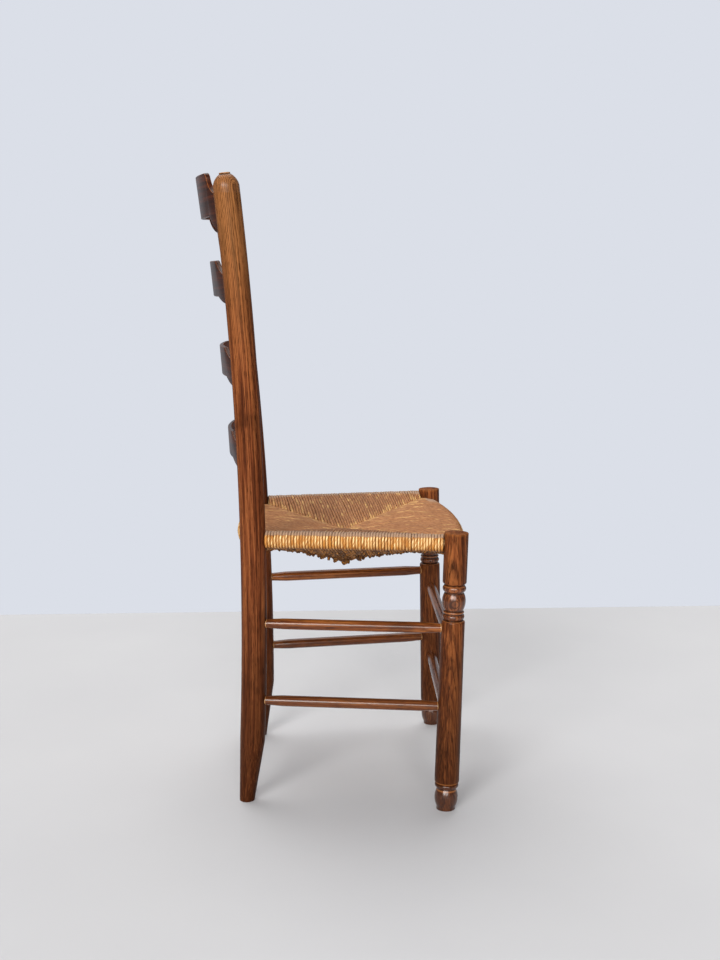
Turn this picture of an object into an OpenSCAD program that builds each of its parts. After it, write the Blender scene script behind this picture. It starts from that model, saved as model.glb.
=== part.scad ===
// Ladder-back dining chair: turned oak frame, four bent back slats, woven rush seat.
// Millimetres. The chair stands on z = 0 and faces -Y, so the sitter's left is +X.

/* [Plan] */
// Distance between the axes of the two front posts
front_spread = 406.4; // [370:1:450]
// Distance between the axes of the two rear posts at plan_level
rear_spread = 317.6; // [300:1:350]
// Distance from the rear posts to the front posts, axis to axis, at plan_level
frame_depth = 322.6; // [300:1:360]
// Height at which the three plan sizes are taken
plan_level = 460; // [445:1:475]
// Height at which the twisted left side of the frame is in line with the right side
twist_level = 312; // [280:1:350]

/* [Front posts] */
// Height of the front posts
front_post_h = 460; // [456:1:475]
// Diameter of the front post above its turnings
front_post_d = 38.2; // [36:0.2:41]
// Diameter of the front post's shaft at its upper end
shaft_top_d = 37.6; // [36:0.2:39]
// Diameter of the front post's shaft at its lower end
shaft_foot_d = 40; // [38:0.2:42]
// Diameter at the bottom of the turned grooves
groove_d = 30.4; // [28:0.2:33]
// Backward lean of the right front post going down, in degrees
front_lean = 1.7; // [0:0.1:2.5]
// Forward swing of the left front post's foot against the right one's, in degrees
front_twist = 2.7; // [0:0.1:3]
// Height of the middle of the turned ball
ball_level = 347.5; // [342:0.5:353]
// Diameter of the turned ball
ball_d = 37.6; // [36:0.2:40]
// Height of the turned ball
ball_h = 29; // [26:1:32]
// Diameter of the foot ball
foot_ball_d = 37.9; // [36:0.2:40]
// Height of the top of the foot ball
foot_ball_h = 36.5; // [33:0.5:40]
// Radius of the softened edge at the top of the front post
top_edge_r = 3; // [1:0.5:5]
// Radius of the shallow crown on top of the front post
crown_r = 90; // [60:5:200]

/* [Rear posts] */
// Height of the rear posts
rear_post_h = 1014.6; // [1010:0.2:1040]
// Diameter of the rear posts
rear_post_d = 41; // [39:0.2:44]
// Radius of the long backward bend of the rear posts
bend_r = 5950; // [5000:10:9000]
// Height at which the bent rear posts stand upright
bend_level = 374; // [340:1:410]
// Sideways spread of each rear post going up, in degrees
rear_splay = 0.62; // [0:0.02:1.2]
// Backward lean of the left rear post against the right one, in degrees
rear_twist = 2; // [0:0.1:3]
// Height of the domed head of the rear post
dome_h = 22; // [18:1:26]
// Diameter of the turning stub left on top of the dome
stub_d = 17.5; // [12:0.5:20]
// Flare of the dome beyond the post, so that its curve meets the post at a soft corner
dome_relief = 0.3; // [0.2:0.05:0.6]
// Height of the turning stub
stub_h = 2.4; // [1:0.2:4]
// Height at which the rear post starts to taper into its foot
rear_foot_h = 105; // [85:1:115]
// Diameter of the rear foot on the floor
rear_foot_d = 24.5; // [19:0.5:30]
// Backward turn of the tapered foot, in degrees
rear_foot_turn = 3.2; // [0:0.1:4]

/* [Seat rails] */
// Diameter of the round seat rails
rail_d = 19; // [17:0.5:21]
// Diameter of the seat rails' tenons
rail_tenon_d = 12; // [10:0.5:12.4]
// Depth of the side rails' axes below the tops of the front posts
side_rail_depth = 18.6; // [17:0.1:21]
// Drop of the front and rear rails below the side rails
rail_drop = 12.8; // [12.7:0.1:15]
// Outward bow of the front rail
front_rail_bow = 18; // [10:0.5:24]
// Outward bow of the rear rail
rear_rail_bow = 16; // [8:0.5:20]

/* [Stretchers] */
// Diameter of the stretchers at mid-length
stretcher_d = 17.6; // [16:0.2:20]
// Diameter of the stretchers' ends and tenons
stretcher_end_d = 14.6; // [12:0.2:15.8]
// Length of the taper at each end of a stretcher
stretcher_taper = 28; // [15:1:40]
// Height of the upper side stretchers
side_upper_level = 302.5; // [297:0.5:305]
// Height of the lower side stretchers
side_lower_level = 172.7; // [160:0.5:185]
// Height of the upper front stretcher
front_upper_level = 276; // [265:0.5:284]
// Height of the lower front stretcher
front_lower_level = 140; // [125:0.5:152]
// Height of the single rear stretcher
rear_stretcher_level = 236; // [220:1:250]

/* [Joints] */
// Depth of every round tenon in its post
tenon_depth = 22; // [18:0.5:24]
// Gap between a tenon and its hole, all round
tenon_gap = 0.1; // [0.05:0.01:0.15]
// Gap between the end of a tenon and the bottom of its hole
tenon_end_gap = 0.8; // [0.4:0.1:1.5]
// Gap between a slat and its mortise, all round
slat_gap = 0.12; // [0.05:0.01:0.2]

/* [Back slats] */
// Thickness of the bent slats
slat_t = 7; // [6:0.5:9]
// Distance inside the rear posts at which the slats end, short of the axis
slat_inset = 2; // [0:0.5:6]
// Distance from the centre line at which the slats' shaped edges reach their shoulders
slat_shoulder = 139; // [134:1:140]
// Radius of the small outer curve where a slat's upper edge starts to fall
slat_ear_r = 10; // [6:0.5:14]
// Depth of the top slat's mounting height below the tops of the rear posts
top_slat_depth = 34.6; // [30:0.2:50]
// Pitch from each slat's mounting height down to the next one's
slat_pitches = [130, 132, 135]; // [120:1:145]
// Backward bow of each slat
slat_bows = [41, 36, 35, 33]; // [25:0.5:60]
// Half-length of each slat's raised middle
slat_crests = [96, 79, 79, 75]; // [65:1:105]
// Height of each slat's upper edge above its mounting height, in the middle
slat_tops = [41, 34.5, 28, 25]; // [22:0.5:45]
// Height of each slat's upper edge above its mounting height, at its shoulders
slat_top_shoulders = [6, 10, 8, 6]; // [4:0.5:14]
// Depth of each slat's lower edge below its mounting height, in the middle
slat_undersides = [26, 23, 20.5, 20]; // [16:0.5:30]
// Depth of each slat's lower edge below its mounting height, at its shoulders
slat_bottom_shoulders = [50, 36, 36, 35]; // [32:0.5:54]

/* [Rush seat] */
// Thickness of the twisted rush cord
cord_d = 4.6; // [4:0.1:5]
// Depth of the woven seat's hollow in the middle, below the tops of the side rolls
seat_dish = 31; // [20:1:38]
// Thickness of the woven seat in the middle
seat_middle_t = 52; // [44:1:60]
// Distance from the rear posts' axes to the point where the four panels meet
seat_middle_back = 152; // [135:1:170]
// Radius of the patch where the four panels meet
seat_middle_r = 20; // [12:1:30]
// Gap between the rush and the wood
rush_gap = 0.3; // [0.2:0.05:0.4]

/* [Hidden] */
$fn = 96;
LEFT = 1;
RIGHT = -1;
FAR = 3000;
BELOW = 8;
ARC_STEPS = 8;
SLAT_COUNT = len(slat_pitches) + 1;
SIDE_RAIL_LEVEL = front_post_h - side_rail_depth;
CROSS_RAIL_LEVEL = SIDE_RAIL_LEVEL - rail_drop;
ROLL_D = rail_d + 2 * cord_d;
ROLL_LAP = 1.5;
FRONT_R = front_post_d / 2;
REAR_R = rear_post_d / 2;

// Backward set of a bent rear post's axis at height h along the post.
function arc_y(h) = bend_r - sqrt(bend_r * bend_r - (h - bend_level) * (h - bend_level));
// Backward lean of the bent post at height h, in degrees.
function arc_lean(h) = asin((h - bend_level) / bend_r);
// Mounting height of slat i, counted from the top down.
function slat_level(i) =
    i == 0 ? rear_post_h - top_slat_depth : slat_level(i - 1) - slat_pitches[i - 1];
// Radius of the circle whose arc bows by sag over a chord of twice half_chord.
function bow_radius(half_chord, sag) = (half_chord * half_chord + sag * sag) / (2 * sag);

// Lean of each front post going down, and of each rear post beyond its bend going up.
function front_lean_of(side) = side == LEFT ? front_lean - front_twist : front_lean;
function rear_twist_of(side) = side == LEFT ? rear_twist : 0;

// Backward set of the left front post against the right one at plan_level.
LEFT_SET = (plan_level - twist_level) * (tan(front_lean) - tan(front_lean_of(LEFT)));
// Reach of the chair before and behind the right rear post's axis; the origin is half way.
FRONT_REACH = frame_depth - LEFT_SET / 2 + front_rail_bow + ROLL_D / 2;
REAR_REACH = arc_y(slat_level(0)) + (slat_level(0) - twist_level) * tan(rear_twist) / 2
    + slat_bows[0] + slat_t / 2 + slat_tops[0] * sin(arc_lean(slat_level(0)) + rear_twist / 2);
REAR_Y = (FRONT_REACH - REAR_REACH) / 2;
FRONT_Y = REAR_Y + arc_y(plan_level) - frame_depth;

// Points on the posts' axes at height z.
function post_h(z) = plan_level + (z - plan_level) / cos(rear_splay);
function rear_axis(side, z) =
    let (twist = rear_twist_of(side),
         h = post_h(twist_level + (z - twist_level) / cos(twist) + arc_y(z) * tan(twist)))
    [
        side * (rear_spread / 2 + (z - plan_level) * tan(rear_splay)),
        REAR_Y + arc_y(h) * cos(twist) + (h - twist_level) * sin(twist),
        z
    ];
function front_axis(side, z) = [
    side * front_spread / 2,
    FRONT_Y + (side == LEFT ? LEFT_SET : 0) + (plan_level - z) * tan(front_lean_of(side)),
    z
];
// Turn in plan of the line from b to a.
function chord_turn(a, b) = atan2((a - b).y, (a - b).x);

// ---------- frames to draw in ----------

// The upright plane of a bent rear post, with its foot's height as z = 0.
module on_rear_post(side) {
    translate([0, REAR_Y, twist_level]) rotate([-rear_twist_of(side), 0, 0])
        translate([side * rear_spread / 2, 0, plan_level - twist_level])
            rotate([0, side * rear_splay, 0])
                translate([0, 0, -plan_level]) children();
}

// The axis of a front post.
module on_front_post(side) {
    translate(front_axis(side, plan_level)) rotate([front_lean_of(side), 0, 0])
        translate([0, 0, -plan_level]) children();
}

// The middle of the level line between a and b, with +X towards a.
module on_chord(a, b) {
    translate((a + b) / 2) rotate([0, 0, chord_turn(a, b)]) children();
}

// A point on the bent axis at height h, with +Z along the post.
module on_bend(h) {
    translate([0, arc_y(h), h]) rotate([-arc_lean(h), 0, 0]) children();
}

// Point a, with +Z towards point b.
module along(a, b) {
    d = b - a;
    translate(a) rotate([0, acos(d.z / norm(d)), atan2(d.y, d.x)]) children();
}

module above_floor() {
    intersection() {
        children();
        translate([-FAR / 2, -FAR / 2, 0]) cube([FAR, FAR, FAR]);
    }
}

// ---------- round joints ----------

// Hole in the post of radius post_r at a, for a tenon of diameter d that comes from b.
module tenon_hole(a, b, post_r, d) {
    bottom = post_r - tenon_depth - tenon_end_gap;
    along(a, b) translate([0, 0, bottom])
        cylinder(d = d + 2 * tenon_gap, h = 2 * post_r - bottom);
}

module front_post_holes(side) {
    for (z = [side_upper_level, side_lower_level])
        tenon_hole(front_axis(side, z), rear_axis(side, z), FRONT_R, stretcher_end_d);
    for (z = [front_upper_level, front_lower_level])
        tenon_hole(front_axis(side, z), front_axis(-side, z), FRONT_R, stretcher_end_d);
    for (seat = [[SIDE_RAIL_LEVEL, rear_axis(side, SIDE_RAIL_LEVEL)],
                 [CROSS_RAIL_LEVEL, front_axis(-side, CROSS_RAIL_LEVEL)]])
        tenon_hole(front_axis(side, seat[0]), seat[1], FRONT_R, rail_tenon_d);
}

module rear_post_holes(side) {
    for (z = [side_upper_level, side_lower_level])
        tenon_hole(rear_axis(side, z), front_axis(side, z), REAR_R, stretcher_end_d);
    tenon_hole(rear_axis(side, rear_stretcher_level), rear_axis(-side, rear_stretcher_level),
        REAR_R, stretcher_end_d);
    for (seat = [[SIDE_RAIL_LEVEL, front_axis(side, SIDE_RAIL_LEVEL)],
                 [CROSS_RAIL_LEVEL, rear_axis(-side, CROSS_RAIL_LEVEL)]])
        tenon_hole(rear_axis(side, seat[0]), seat[1], REAR_R, rail_tenon_d);
}

// ---------- front posts ----------

// Half-section, from z0 to z1, of a turned swelling that is widest at z_mid.
module swelling(z0, z1, z_mid, d_mid, r) {
    intersection() {
        translate([d_mid / 2 - r, z_mid]) circle(r = r);
        translate([0, z0]) square([d_mid, z1 - z0]);
    }
}

// Half-section of a bead from z0 to z1 that meets the grooves at d_edge.
module bead(z0, z1, d_mid, d_edge) {
    swelling(z0, z1, (z0 + z1) / 2, d_mid, bow_radius((z1 - z0) / 2, (d_mid - d_edge) / 2));
}

// Half-section of the whole turned post.
module front_post_section() {
    ball_top = ball_level + ball_h / 2;
    ball_foot = ball_level - ball_h / 2;
    upper_foot = ball_top + 14;
    shaft_top = ball_foot - 17;
    ankle = foot_ball_h + 4;
    foot_mid = 20;
    translate([0, -BELOW]) square([groove_d / 2, front_post_h - top_edge_r + BELOW]);
    intersection() {
        translate([0, front_post_h - crown_r]) circle(r = crown_r);
        union() {
            polygon([
                [0, upper_foot - 2], [groove_d / 2, upper_foot - 2],
                [front_post_d / 2, upper_foot + 2], [front_post_d / 2, front_post_h - top_edge_r],
                [0, front_post_h - top_edge_r]
            ]);
            translate([front_post_d / 2 - top_edge_r, front_post_h - top_edge_r])
                circle(r = top_edge_r);
            square([front_post_d / 2 - top_edge_r, front_post_h]);
        }
    }
    bead(ball_top + 1, ball_top + 12, front_post_d - 0.6, groove_d + 0.6);
    bead(ball_foot, ball_top, ball_d, groove_d);
    bead(ball_foot - 5, ball_foot - 1, groove_d + 3.4, groove_d + 1);
    bead(ball_foot - 14.5, ball_foot - 6, groove_d + 5, groove_d + 1);
    polygon([
        [0, ankle + 5], [shaft_foot_d / 2 - 0.8, ankle + 5], [shaft_foot_d / 2, ankle + 8],
        [shaft_top_d / 2, shaft_top - 3], [shaft_top_d / 2 - 1.4, shaft_top], [0, shaft_top]
    ]);
    bead(foot_ball_h + 0.5, ankle + 4.5, foot_ball_d + 0.6, foot_ball_d - 4);
    swelling(-BELOW, foot_ball_h - 0.5, foot_mid, foot_ball_d, 34);
}

module front_post(side) {
    color("saddlebrown") above_floor() difference() {
        on_front_post(side) rotate_extrude() front_post_section();
        front_post_holes(side);
    }
}

// ---------- rear posts ----------

// The bent round bar from height h0 to height h1.
module bent_bar(h0, h1) {
    translate([0, bend_r, bend_level]) rotate([90, 0, -90]) rotate([0, 0, arc_lean(h0)])
        rotate_extrude(angle = arc_lean(h1) - arc_lean(h0), $fn = 2000)
            translate([bend_r, 0]) circle(r = REAR_R, $fn = 96);
}

// What is cut away to shape the head: all but a dome and the stub that the lathe left.
module rear_post_head_waste() {
    widest = rear_post_d + 2 * dome_relief;
    dome_r = bow_radius(dome_h, (widest - stub_d) / 2);
    rotate_extrude() difference() {
        square([rear_post_d, dome_h + stub_h + BELOW]);
        swelling(0, dome_h, 0, widest, dome_r);
        square([stub_d / 2, dome_h + stub_h]);
    }
}

// What is cut away to taper the foot: all but a cone that leans backwards going down.
module rear_foot_waste() {
    slope = (rear_post_d - rear_foot_d) / rear_foot_h;
    above = rear_foot_h / 2;
    below = rear_foot_h + 2 * BELOW;
    rotate([rear_foot_turn, 0, 0]) translate([0, 0, -below]) difference() {
        cylinder(r = rear_post_d, h = below + above);
        translate([0, 0, -1]) cylinder(
            d1 = rear_post_d - slope * (below + 1), d2 = rear_post_d + slope * (above + 1),
            h = below + above + 2);
    }
}

module rear_post(side) {
    color("sienna") above_floor() difference() {
        on_rear_post(side) bent_bar(-BELOW, rear_post_h + BELOW / 2);
        on_rear_post(side) on_bend(rear_post_h - dome_h - stub_h) rear_post_head_waste();
        on_rear_post(side) on_bend(rear_foot_h) rear_foot_waste();
        rear_post_holes(side);
        for (i = [0 : SLAT_COUNT - 1]) slat_mortise(i, side);
    }
}

// ---------- back slats ----------

function slat_half(i) =
    norm(rear_axis(LEFT, slat_level(i)) - rear_axis(RIGHT, slat_level(i))) / 2;

// Frame of slat i: x across the back, y backwards, z along the mean lean of the posts.
module on_slat(i) {
    z = slat_level(i);
    on_chord(rear_axis(LEFT, z), rear_axis(RIGHT, z))
        rotate([-arc_lean(post_h(z)) - rear_twist / 2, 0, 0]) children();
}

// Bent band of slat i between x0 and x1, thickened by gap on each face.
module slat_band(i, x0, x1, z0, z1, gap) {
    r = bow_radius(slat_half(i), slat_bows[i]);
    translate([0, 0, z0]) linear_extrude(z1 - z0) intersection() {
        translate([0, slat_bows[i] - r]) difference() {
            circle(r = r + slat_t / 2 + gap, $fn = 360);
            circle(r = r - slat_t / 2 - gap, $fn = 360);
        }
        translate([x0, -slat_bows[i]]) square([x1 - x0, 3 * slat_bows[i]]);
    }
}

// Points along an arc of radius r about c, from angle a0 to angle a1.
function arc_points(c, r, a0, a1) =
    [for (k = [0 : ARC_STEPS]) let (a = a0 + (a1 - a0) * k / ARC_STEPS) c + r * [cos(a), sin(a)]];

// Right-hand outline of slat i, from its lower edge round to its upper edge: a lobe
// below, the square end, then a cove and a small ear above.
function slat_outline(i) =
    let (crest = slat_crests[i],
         top = slat_tops[i],
         shoulder = slat_top_shoulders[i],
         bottom = slat_bottom_shoulders[i],
         end = slat_half(i) - slat_inset,
         run = slat_shoulder - crest,
         lobe_r = bow_radius(run, bottom - slat_undersides[i]),
         curves_r = bow_radius(run, top - shoulder),
         cove_r = curves_r - slat_ear_r,
         turn = asin(run / curves_r))
    concat(
        arc_points([slat_shoulder, lobe_r - bottom], lobe_r, -90 - asin(run / lobe_r), -90),
        [[end, -bottom], [end, shoulder]],
        arc_points([slat_shoulder, shoulder + cove_r], cove_r, -90, -90 - turn),
        arc_points([crest, top - slat_ear_r], slat_ear_r, 90 - turn, 90)
    );

module back_slat(i) {
    half = slat_half(i);
    color("#4a2c1c") on_slat(i) intersection() {
        slat_band(i, -half, half, -FAR / 20, FAR / 20, 0);
        rotate([90, 0, 0]) linear_extrude(FAR / 10, center = true) {
            outline = slat_outline(i);
            last = len(outline) - 1;
            polygon(concat(outline, [for (k = [last : -1 : 0]) [-outline[k].x, outline[k].y]]));
        }
    }
}

// Mortise for slat i in the rear post on one side.
module slat_mortise(i, side) {
    on_slat(i) mirror([side == LEFT ? 0 : 1, 0, 0])
        slat_band(i, slat_shoulder, slat_half(i) - slat_inset + tenon_end_gap,
            -slat_bottom_shoulders[i] - slat_gap, slat_top_shoulders[i] + slat_gap, slat_gap);
}

// ---------- seat rails ----------

// Straight tenon of a rail in the post of radius post_r at a, towards b.
module rail_tenon(a, b, post_r) {
    along(a, b) translate([0, 0, post_r - tenon_depth])
        cylinder(d = rail_tenon_d, h = tenon_depth + rail_d / 2);
}

module side_rail(side) {
    a = rear_axis(side, SIDE_RAIL_LEVEL);
    b = front_axis(side, SIDE_RAIL_LEVEL);
    color("burlywood") {
        rail_tenon(a, b, REAR_R);
        rail_tenon(b, a, FRONT_R);
        along(a, b) translate([0, 0, REAR_R + rush_gap])
            cylinder(d = rail_d, h = norm(b - a) - REAR_R - FRONT_R - 2 * rush_gap);
    }
}

// Bowed bar of diameter d in the level plane through a and b, from shoulder to shoulder
// and on along its bow by the lap.
module bowed_bar(a, b, post_r, bow, d, lap = 0) {
    half = norm(b - a) / 2 - post_r - rush_gap;
    r = bow_radius(half, abs(bow));
    turn = asin((half + lap) / r);
    on_chord(a, b) translate([0, (bow > 0 ? 1 : -1) * (abs(bow) - r), 0])
        rotate([0, 0, (bow > 0 ? 90 : -90) - turn])
            rotate_extrude(angle = 2 * turn, $fn = 400) translate([r, 0])
                circle(d = d, $fn = 96);
}

module cross_rail(a, b, post_r, bow) {
    color("burlywood") {
        rail_tenon(a, b, post_r);
        rail_tenon(b, a, post_r);
        bowed_bar(a, b, post_r, bow, rail_d);
    }
}

module front_rail() {
    cross_rail(front_axis(LEFT, CROSS_RAIL_LEVEL), front_axis(RIGHT, CROSS_RAIL_LEVEL),
        FRONT_R, -front_rail_bow);
}

module rear_rail() {
    cross_rail(rear_axis(LEFT, CROSS_RAIL_LEVEL), rear_axis(RIGHT, CROSS_RAIL_LEVEL),
        REAR_R, rear_rail_bow);
}

// ---------- stretchers ----------

// Turned stretcher between the posts at a and b, with tapered ends and plain tenons.
module stretcher(a, b, post_a_r, post_b_r) {
    length = norm(b - a);
    end_r = stretcher_end_d / 2;
    mid_r = stretcher_d / 2;
    color("#6b3f22") along(a, b) rotate_extrude() polygon([
        [0, post_a_r - tenon_depth],
        [end_r, post_a_r - tenon_depth],
        [end_r, post_a_r],
        [mid_r, post_a_r + stretcher_taper],
        [mid_r, length - post_b_r - stretcher_taper],
        [end_r, length - post_b_r],
        [end_r, length - post_b_r + tenon_depth],
        [0, length - post_b_r + tenon_depth]
    ]);
}

module side_stretcher(side, z) {
    stretcher(rear_axis(side, z), front_axis(side, z), REAR_R, FRONT_R);
}

module front_stretcher(z) {
    stretcher(front_axis(RIGHT, z), front_axis(LEFT, z), FRONT_R, FRONT_R);
}

module rear_stretcher() {
    z = rear_stretcher_level;
    stretcher(rear_axis(RIGHT, z), rear_axis(LEFT, z), REAR_R, REAR_R);
}

// ---------- rush seat ----------

// Patch in the middle of the seat where its four panels meet.
module seat_middle() {
    top = SIDE_RAIL_LEVEL + ROLL_D / 2 - seat_dish;
    translate([0, REAR_Y - seat_middle_back, top - seat_middle_t])
        cylinder(r = seat_middle_r, h = seat_middle_t, $fn = 32);
}

// Panel from a straight roll to the middle.
module side_panel(side) {
    a = rear_axis(side, SIDE_RAIL_LEVEL);
    b = front_axis(side, SIDE_RAIL_LEVEL);
    back = REAR_R + rush_gap - ROLL_LAP;
    hull() {
        along(a, b) translate([0, 0, back])
            cylinder(d = ROLL_D, h = norm(b - a) - back - FRONT_R - rush_gap + ROLL_LAP, $fn = 32);
        seat_middle();
    }
}

// Panel from a bowed roll to the middle.
module cross_panel(a, b, post_r, bow) {
    half = norm(b - a) / 2 - post_r - rush_gap;
    r = bow_radius(half, abs(bow));
    way = bow > 0 ? 1 : -1;
    steps = 4;
    hull() {
        for (k = [-steps : steps]) {
            turn = asin((half + ROLL_LAP) / r) * k / steps;
            on_chord(a, b) translate([r * sin(turn), way * (abs(bow) - r + r * cos(turn)), 0])
                rotate([0, 90, -way * turn])
                    cylinder(d = ROLL_D, h = 0.02, center = true, $fn = 32);
        }
        seat_middle();
    }
}

module rush_seat() {
    front = [front_axis(LEFT, CROSS_RAIL_LEVEL), front_axis(RIGHT, CROSS_RAIL_LEVEL)];
    rear = [rear_axis(LEFT, CROSS_RAIL_LEVEL), rear_axis(RIGHT, CROSS_RAIL_LEVEL)];
    color("peru") difference() {
        union() {
            side_panel(LEFT);
            side_panel(RIGHT);
            cross_panel(front[0], front[1], FRONT_R, -front_rail_bow);
            cross_panel(rear[0], rear[1], REAR_R, rear_rail_bow);
        }
        bowed_bar(front[0], front[1], FRONT_R, -front_rail_bow, rail_d + 2 * rush_gap, 2 * ROLL_LAP);
        bowed_bar(rear[0], rear[1], REAR_R, rear_rail_bow, rail_d + 2 * rush_gap, 2 * ROLL_LAP);
        for (side = [LEFT, RIGHT]) {
            along(rear_axis(side, SIDE_RAIL_LEVEL), front_axis(side, SIDE_RAIL_LEVEL))
                cylinder(d = rail_d + 2 * rush_gap, h = frame_depth * 1.02);
            on_front_post(side) cylinder(r = FRONT_R + rush_gap, h = FAR);
            on_rear_post(side) translate([0, 0, -plan_level])
                cylinder(r = REAR_R + rush_gap, h = 2 * plan_level);
        }
    }
}

rear_post(LEFT);  // rear_post_left
rear_post(RIGHT);  // rear_post_right
front_post(LEFT);  // front_post_left
front_post(RIGHT);  // front_post_right
back_slat(0);  // back_slat_1
back_slat(1);  // back_slat_2
back_slat(2);  // back_slat_3
back_slat(3);  // back_slat_4
front_rail();  // seat_rail_front
rear_rail();  // seat_rail_rear
side_rail(LEFT);  // seat_rail_left
side_rail(RIGHT);  // seat_rail_right
side_stretcher(LEFT, side_upper_level);  // stretcher_left_upper
side_stretcher(LEFT, side_lower_level);  // stretcher_left_lower
side_stretcher(RIGHT, side_upper_level);  // stretcher_right_upper
side_stretcher(RIGHT, side_lower_level);  // stretcher_right_lower
front_stretcher(front_upper_level);  // stretcher_front_upper
front_stretcher(front_lower_level);  // stretcher_front_lower
rear_stretcher();  // stretcher_rear
rush_seat();
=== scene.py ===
"""The looks of a ladder-back dining chair with a rush seat.

Everything is in metres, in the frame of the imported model: +Z is up, the chair faces -Y, and the
sitter's left is +X. Each wooden piece is turned or bent in its own frame and carries its grain
as an attribute, so one timber material serves pieces that run in any direction. The seat is
wound strand by strand round the four rails.
"""

import logging
import math
import random
from collections.abc import Callable, Sequence
from dataclasses import dataclass, field
from enum import Enum

import bmesh
import bpy
from bmesh.types import BMEdge, BMesh, BMVert
from bpy.types import Material, NodeSocket, NodeTree, Object
from mathutils import Matrix, Vector, noise


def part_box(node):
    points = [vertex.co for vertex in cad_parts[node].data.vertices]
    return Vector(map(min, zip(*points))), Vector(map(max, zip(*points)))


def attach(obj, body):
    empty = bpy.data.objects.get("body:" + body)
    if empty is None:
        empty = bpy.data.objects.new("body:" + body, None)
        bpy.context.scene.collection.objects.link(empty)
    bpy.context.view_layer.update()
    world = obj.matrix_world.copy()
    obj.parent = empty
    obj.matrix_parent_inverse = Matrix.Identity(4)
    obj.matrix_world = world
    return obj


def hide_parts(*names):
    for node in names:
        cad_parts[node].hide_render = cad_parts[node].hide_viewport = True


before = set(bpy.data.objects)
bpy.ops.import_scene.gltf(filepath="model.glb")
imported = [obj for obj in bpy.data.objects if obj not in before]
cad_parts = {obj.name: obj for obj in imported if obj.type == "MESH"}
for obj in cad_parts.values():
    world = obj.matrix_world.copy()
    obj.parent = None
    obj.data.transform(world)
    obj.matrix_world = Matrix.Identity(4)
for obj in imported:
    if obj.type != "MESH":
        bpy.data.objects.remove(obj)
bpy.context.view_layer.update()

Tint = tuple[int, int, int]
Colour = tuple[float, float, float, float]
Outline = list[tuple[float, float]]

LOG = logging.getLogger("chair")
MM = 0.001
UP = Vector((0, 0, 1))
WELD = 0.01 * MM
TIMBER, TONE, AGE_AND_SHEEN, SEAM, STRAND_UV = "timber", "tone", "age", "seam", "strand"
BACKDROP = (219, 223, 232)


def paint(red: int, green: int, blue: int) -> Colour:
    """Turn a display colour into the linear colour that a shader takes.

    Args:
        red: Red, 0 to 255.
        green: Green, 0 to 255.
        blue: Blue, 0 to 255.

    Returns:
        The linear colour with an alpha of 1.
    """
    shares = [level / 255 for level in (red, green, blue)]
    return (*(s / 12.92 if s <= 0.04045 else ((s + 0.055) / 1.055) ** 2.4 for s in shares), 1.0)


# ---------------------------------------------------------------- shader graphs


def operator(operation: str, flipped: bool = False) -> Callable[..., "Signal"]:
    """Make a method of Signal that adds a Math node.

    Args:
        operation: What the node works out.
        flipped: Whether the method's own signal is the second operand.

    Returns:
        The method.
    """

    def method(self: "Signal", other: object = 0.0) -> "Signal":
        """The node's result."""
        first, second = (other, self) if flipped else (self, other)
        return self.graph.node("Math", {"operation": operation}, {0: first, 1: second})

    return method


class Signal:
    """One output socket of a shader graph, usable in arithmetic."""

    __add__, __radd__ = operator("ADD"), operator("ADD", flipped=True)
    __sub__, __rsub__ = operator("SUBTRACT"), operator("SUBTRACT", flipped=True)
    __mul__, __rmul__ = operator("MULTIPLY"), operator("MULTIPLY", flipped=True)
    __truediv__, __pow__ = operator("DIVIDE"), operator("POWER")
    absolute, fraction = operator("ABSOLUTE"), operator("FRACT")

    def __init__(self, graph: "Graph", socket: NodeSocket) -> None:
        """Wrap an output socket of a node in the graph."""
        self.graph = graph
        self.socket = socket

    def ramp(self, low: float, high: float) -> "Signal":
        """Rise smoothly from 0 at low to 1 at high, or fall where high is below low.

        Args:
            low: Input value that gives 0.
            high: Input value that gives 1.

        Returns:
            The mask.
        """
        mask = self.graph.node(
            "MapRange",
            {"interpolation_type": "SMOOTHSTEP"},
            {"Value": self, "From Min": min(low, high), "From Max": max(low, high)},
        )
        return mask if low < high else 1 - mask


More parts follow.
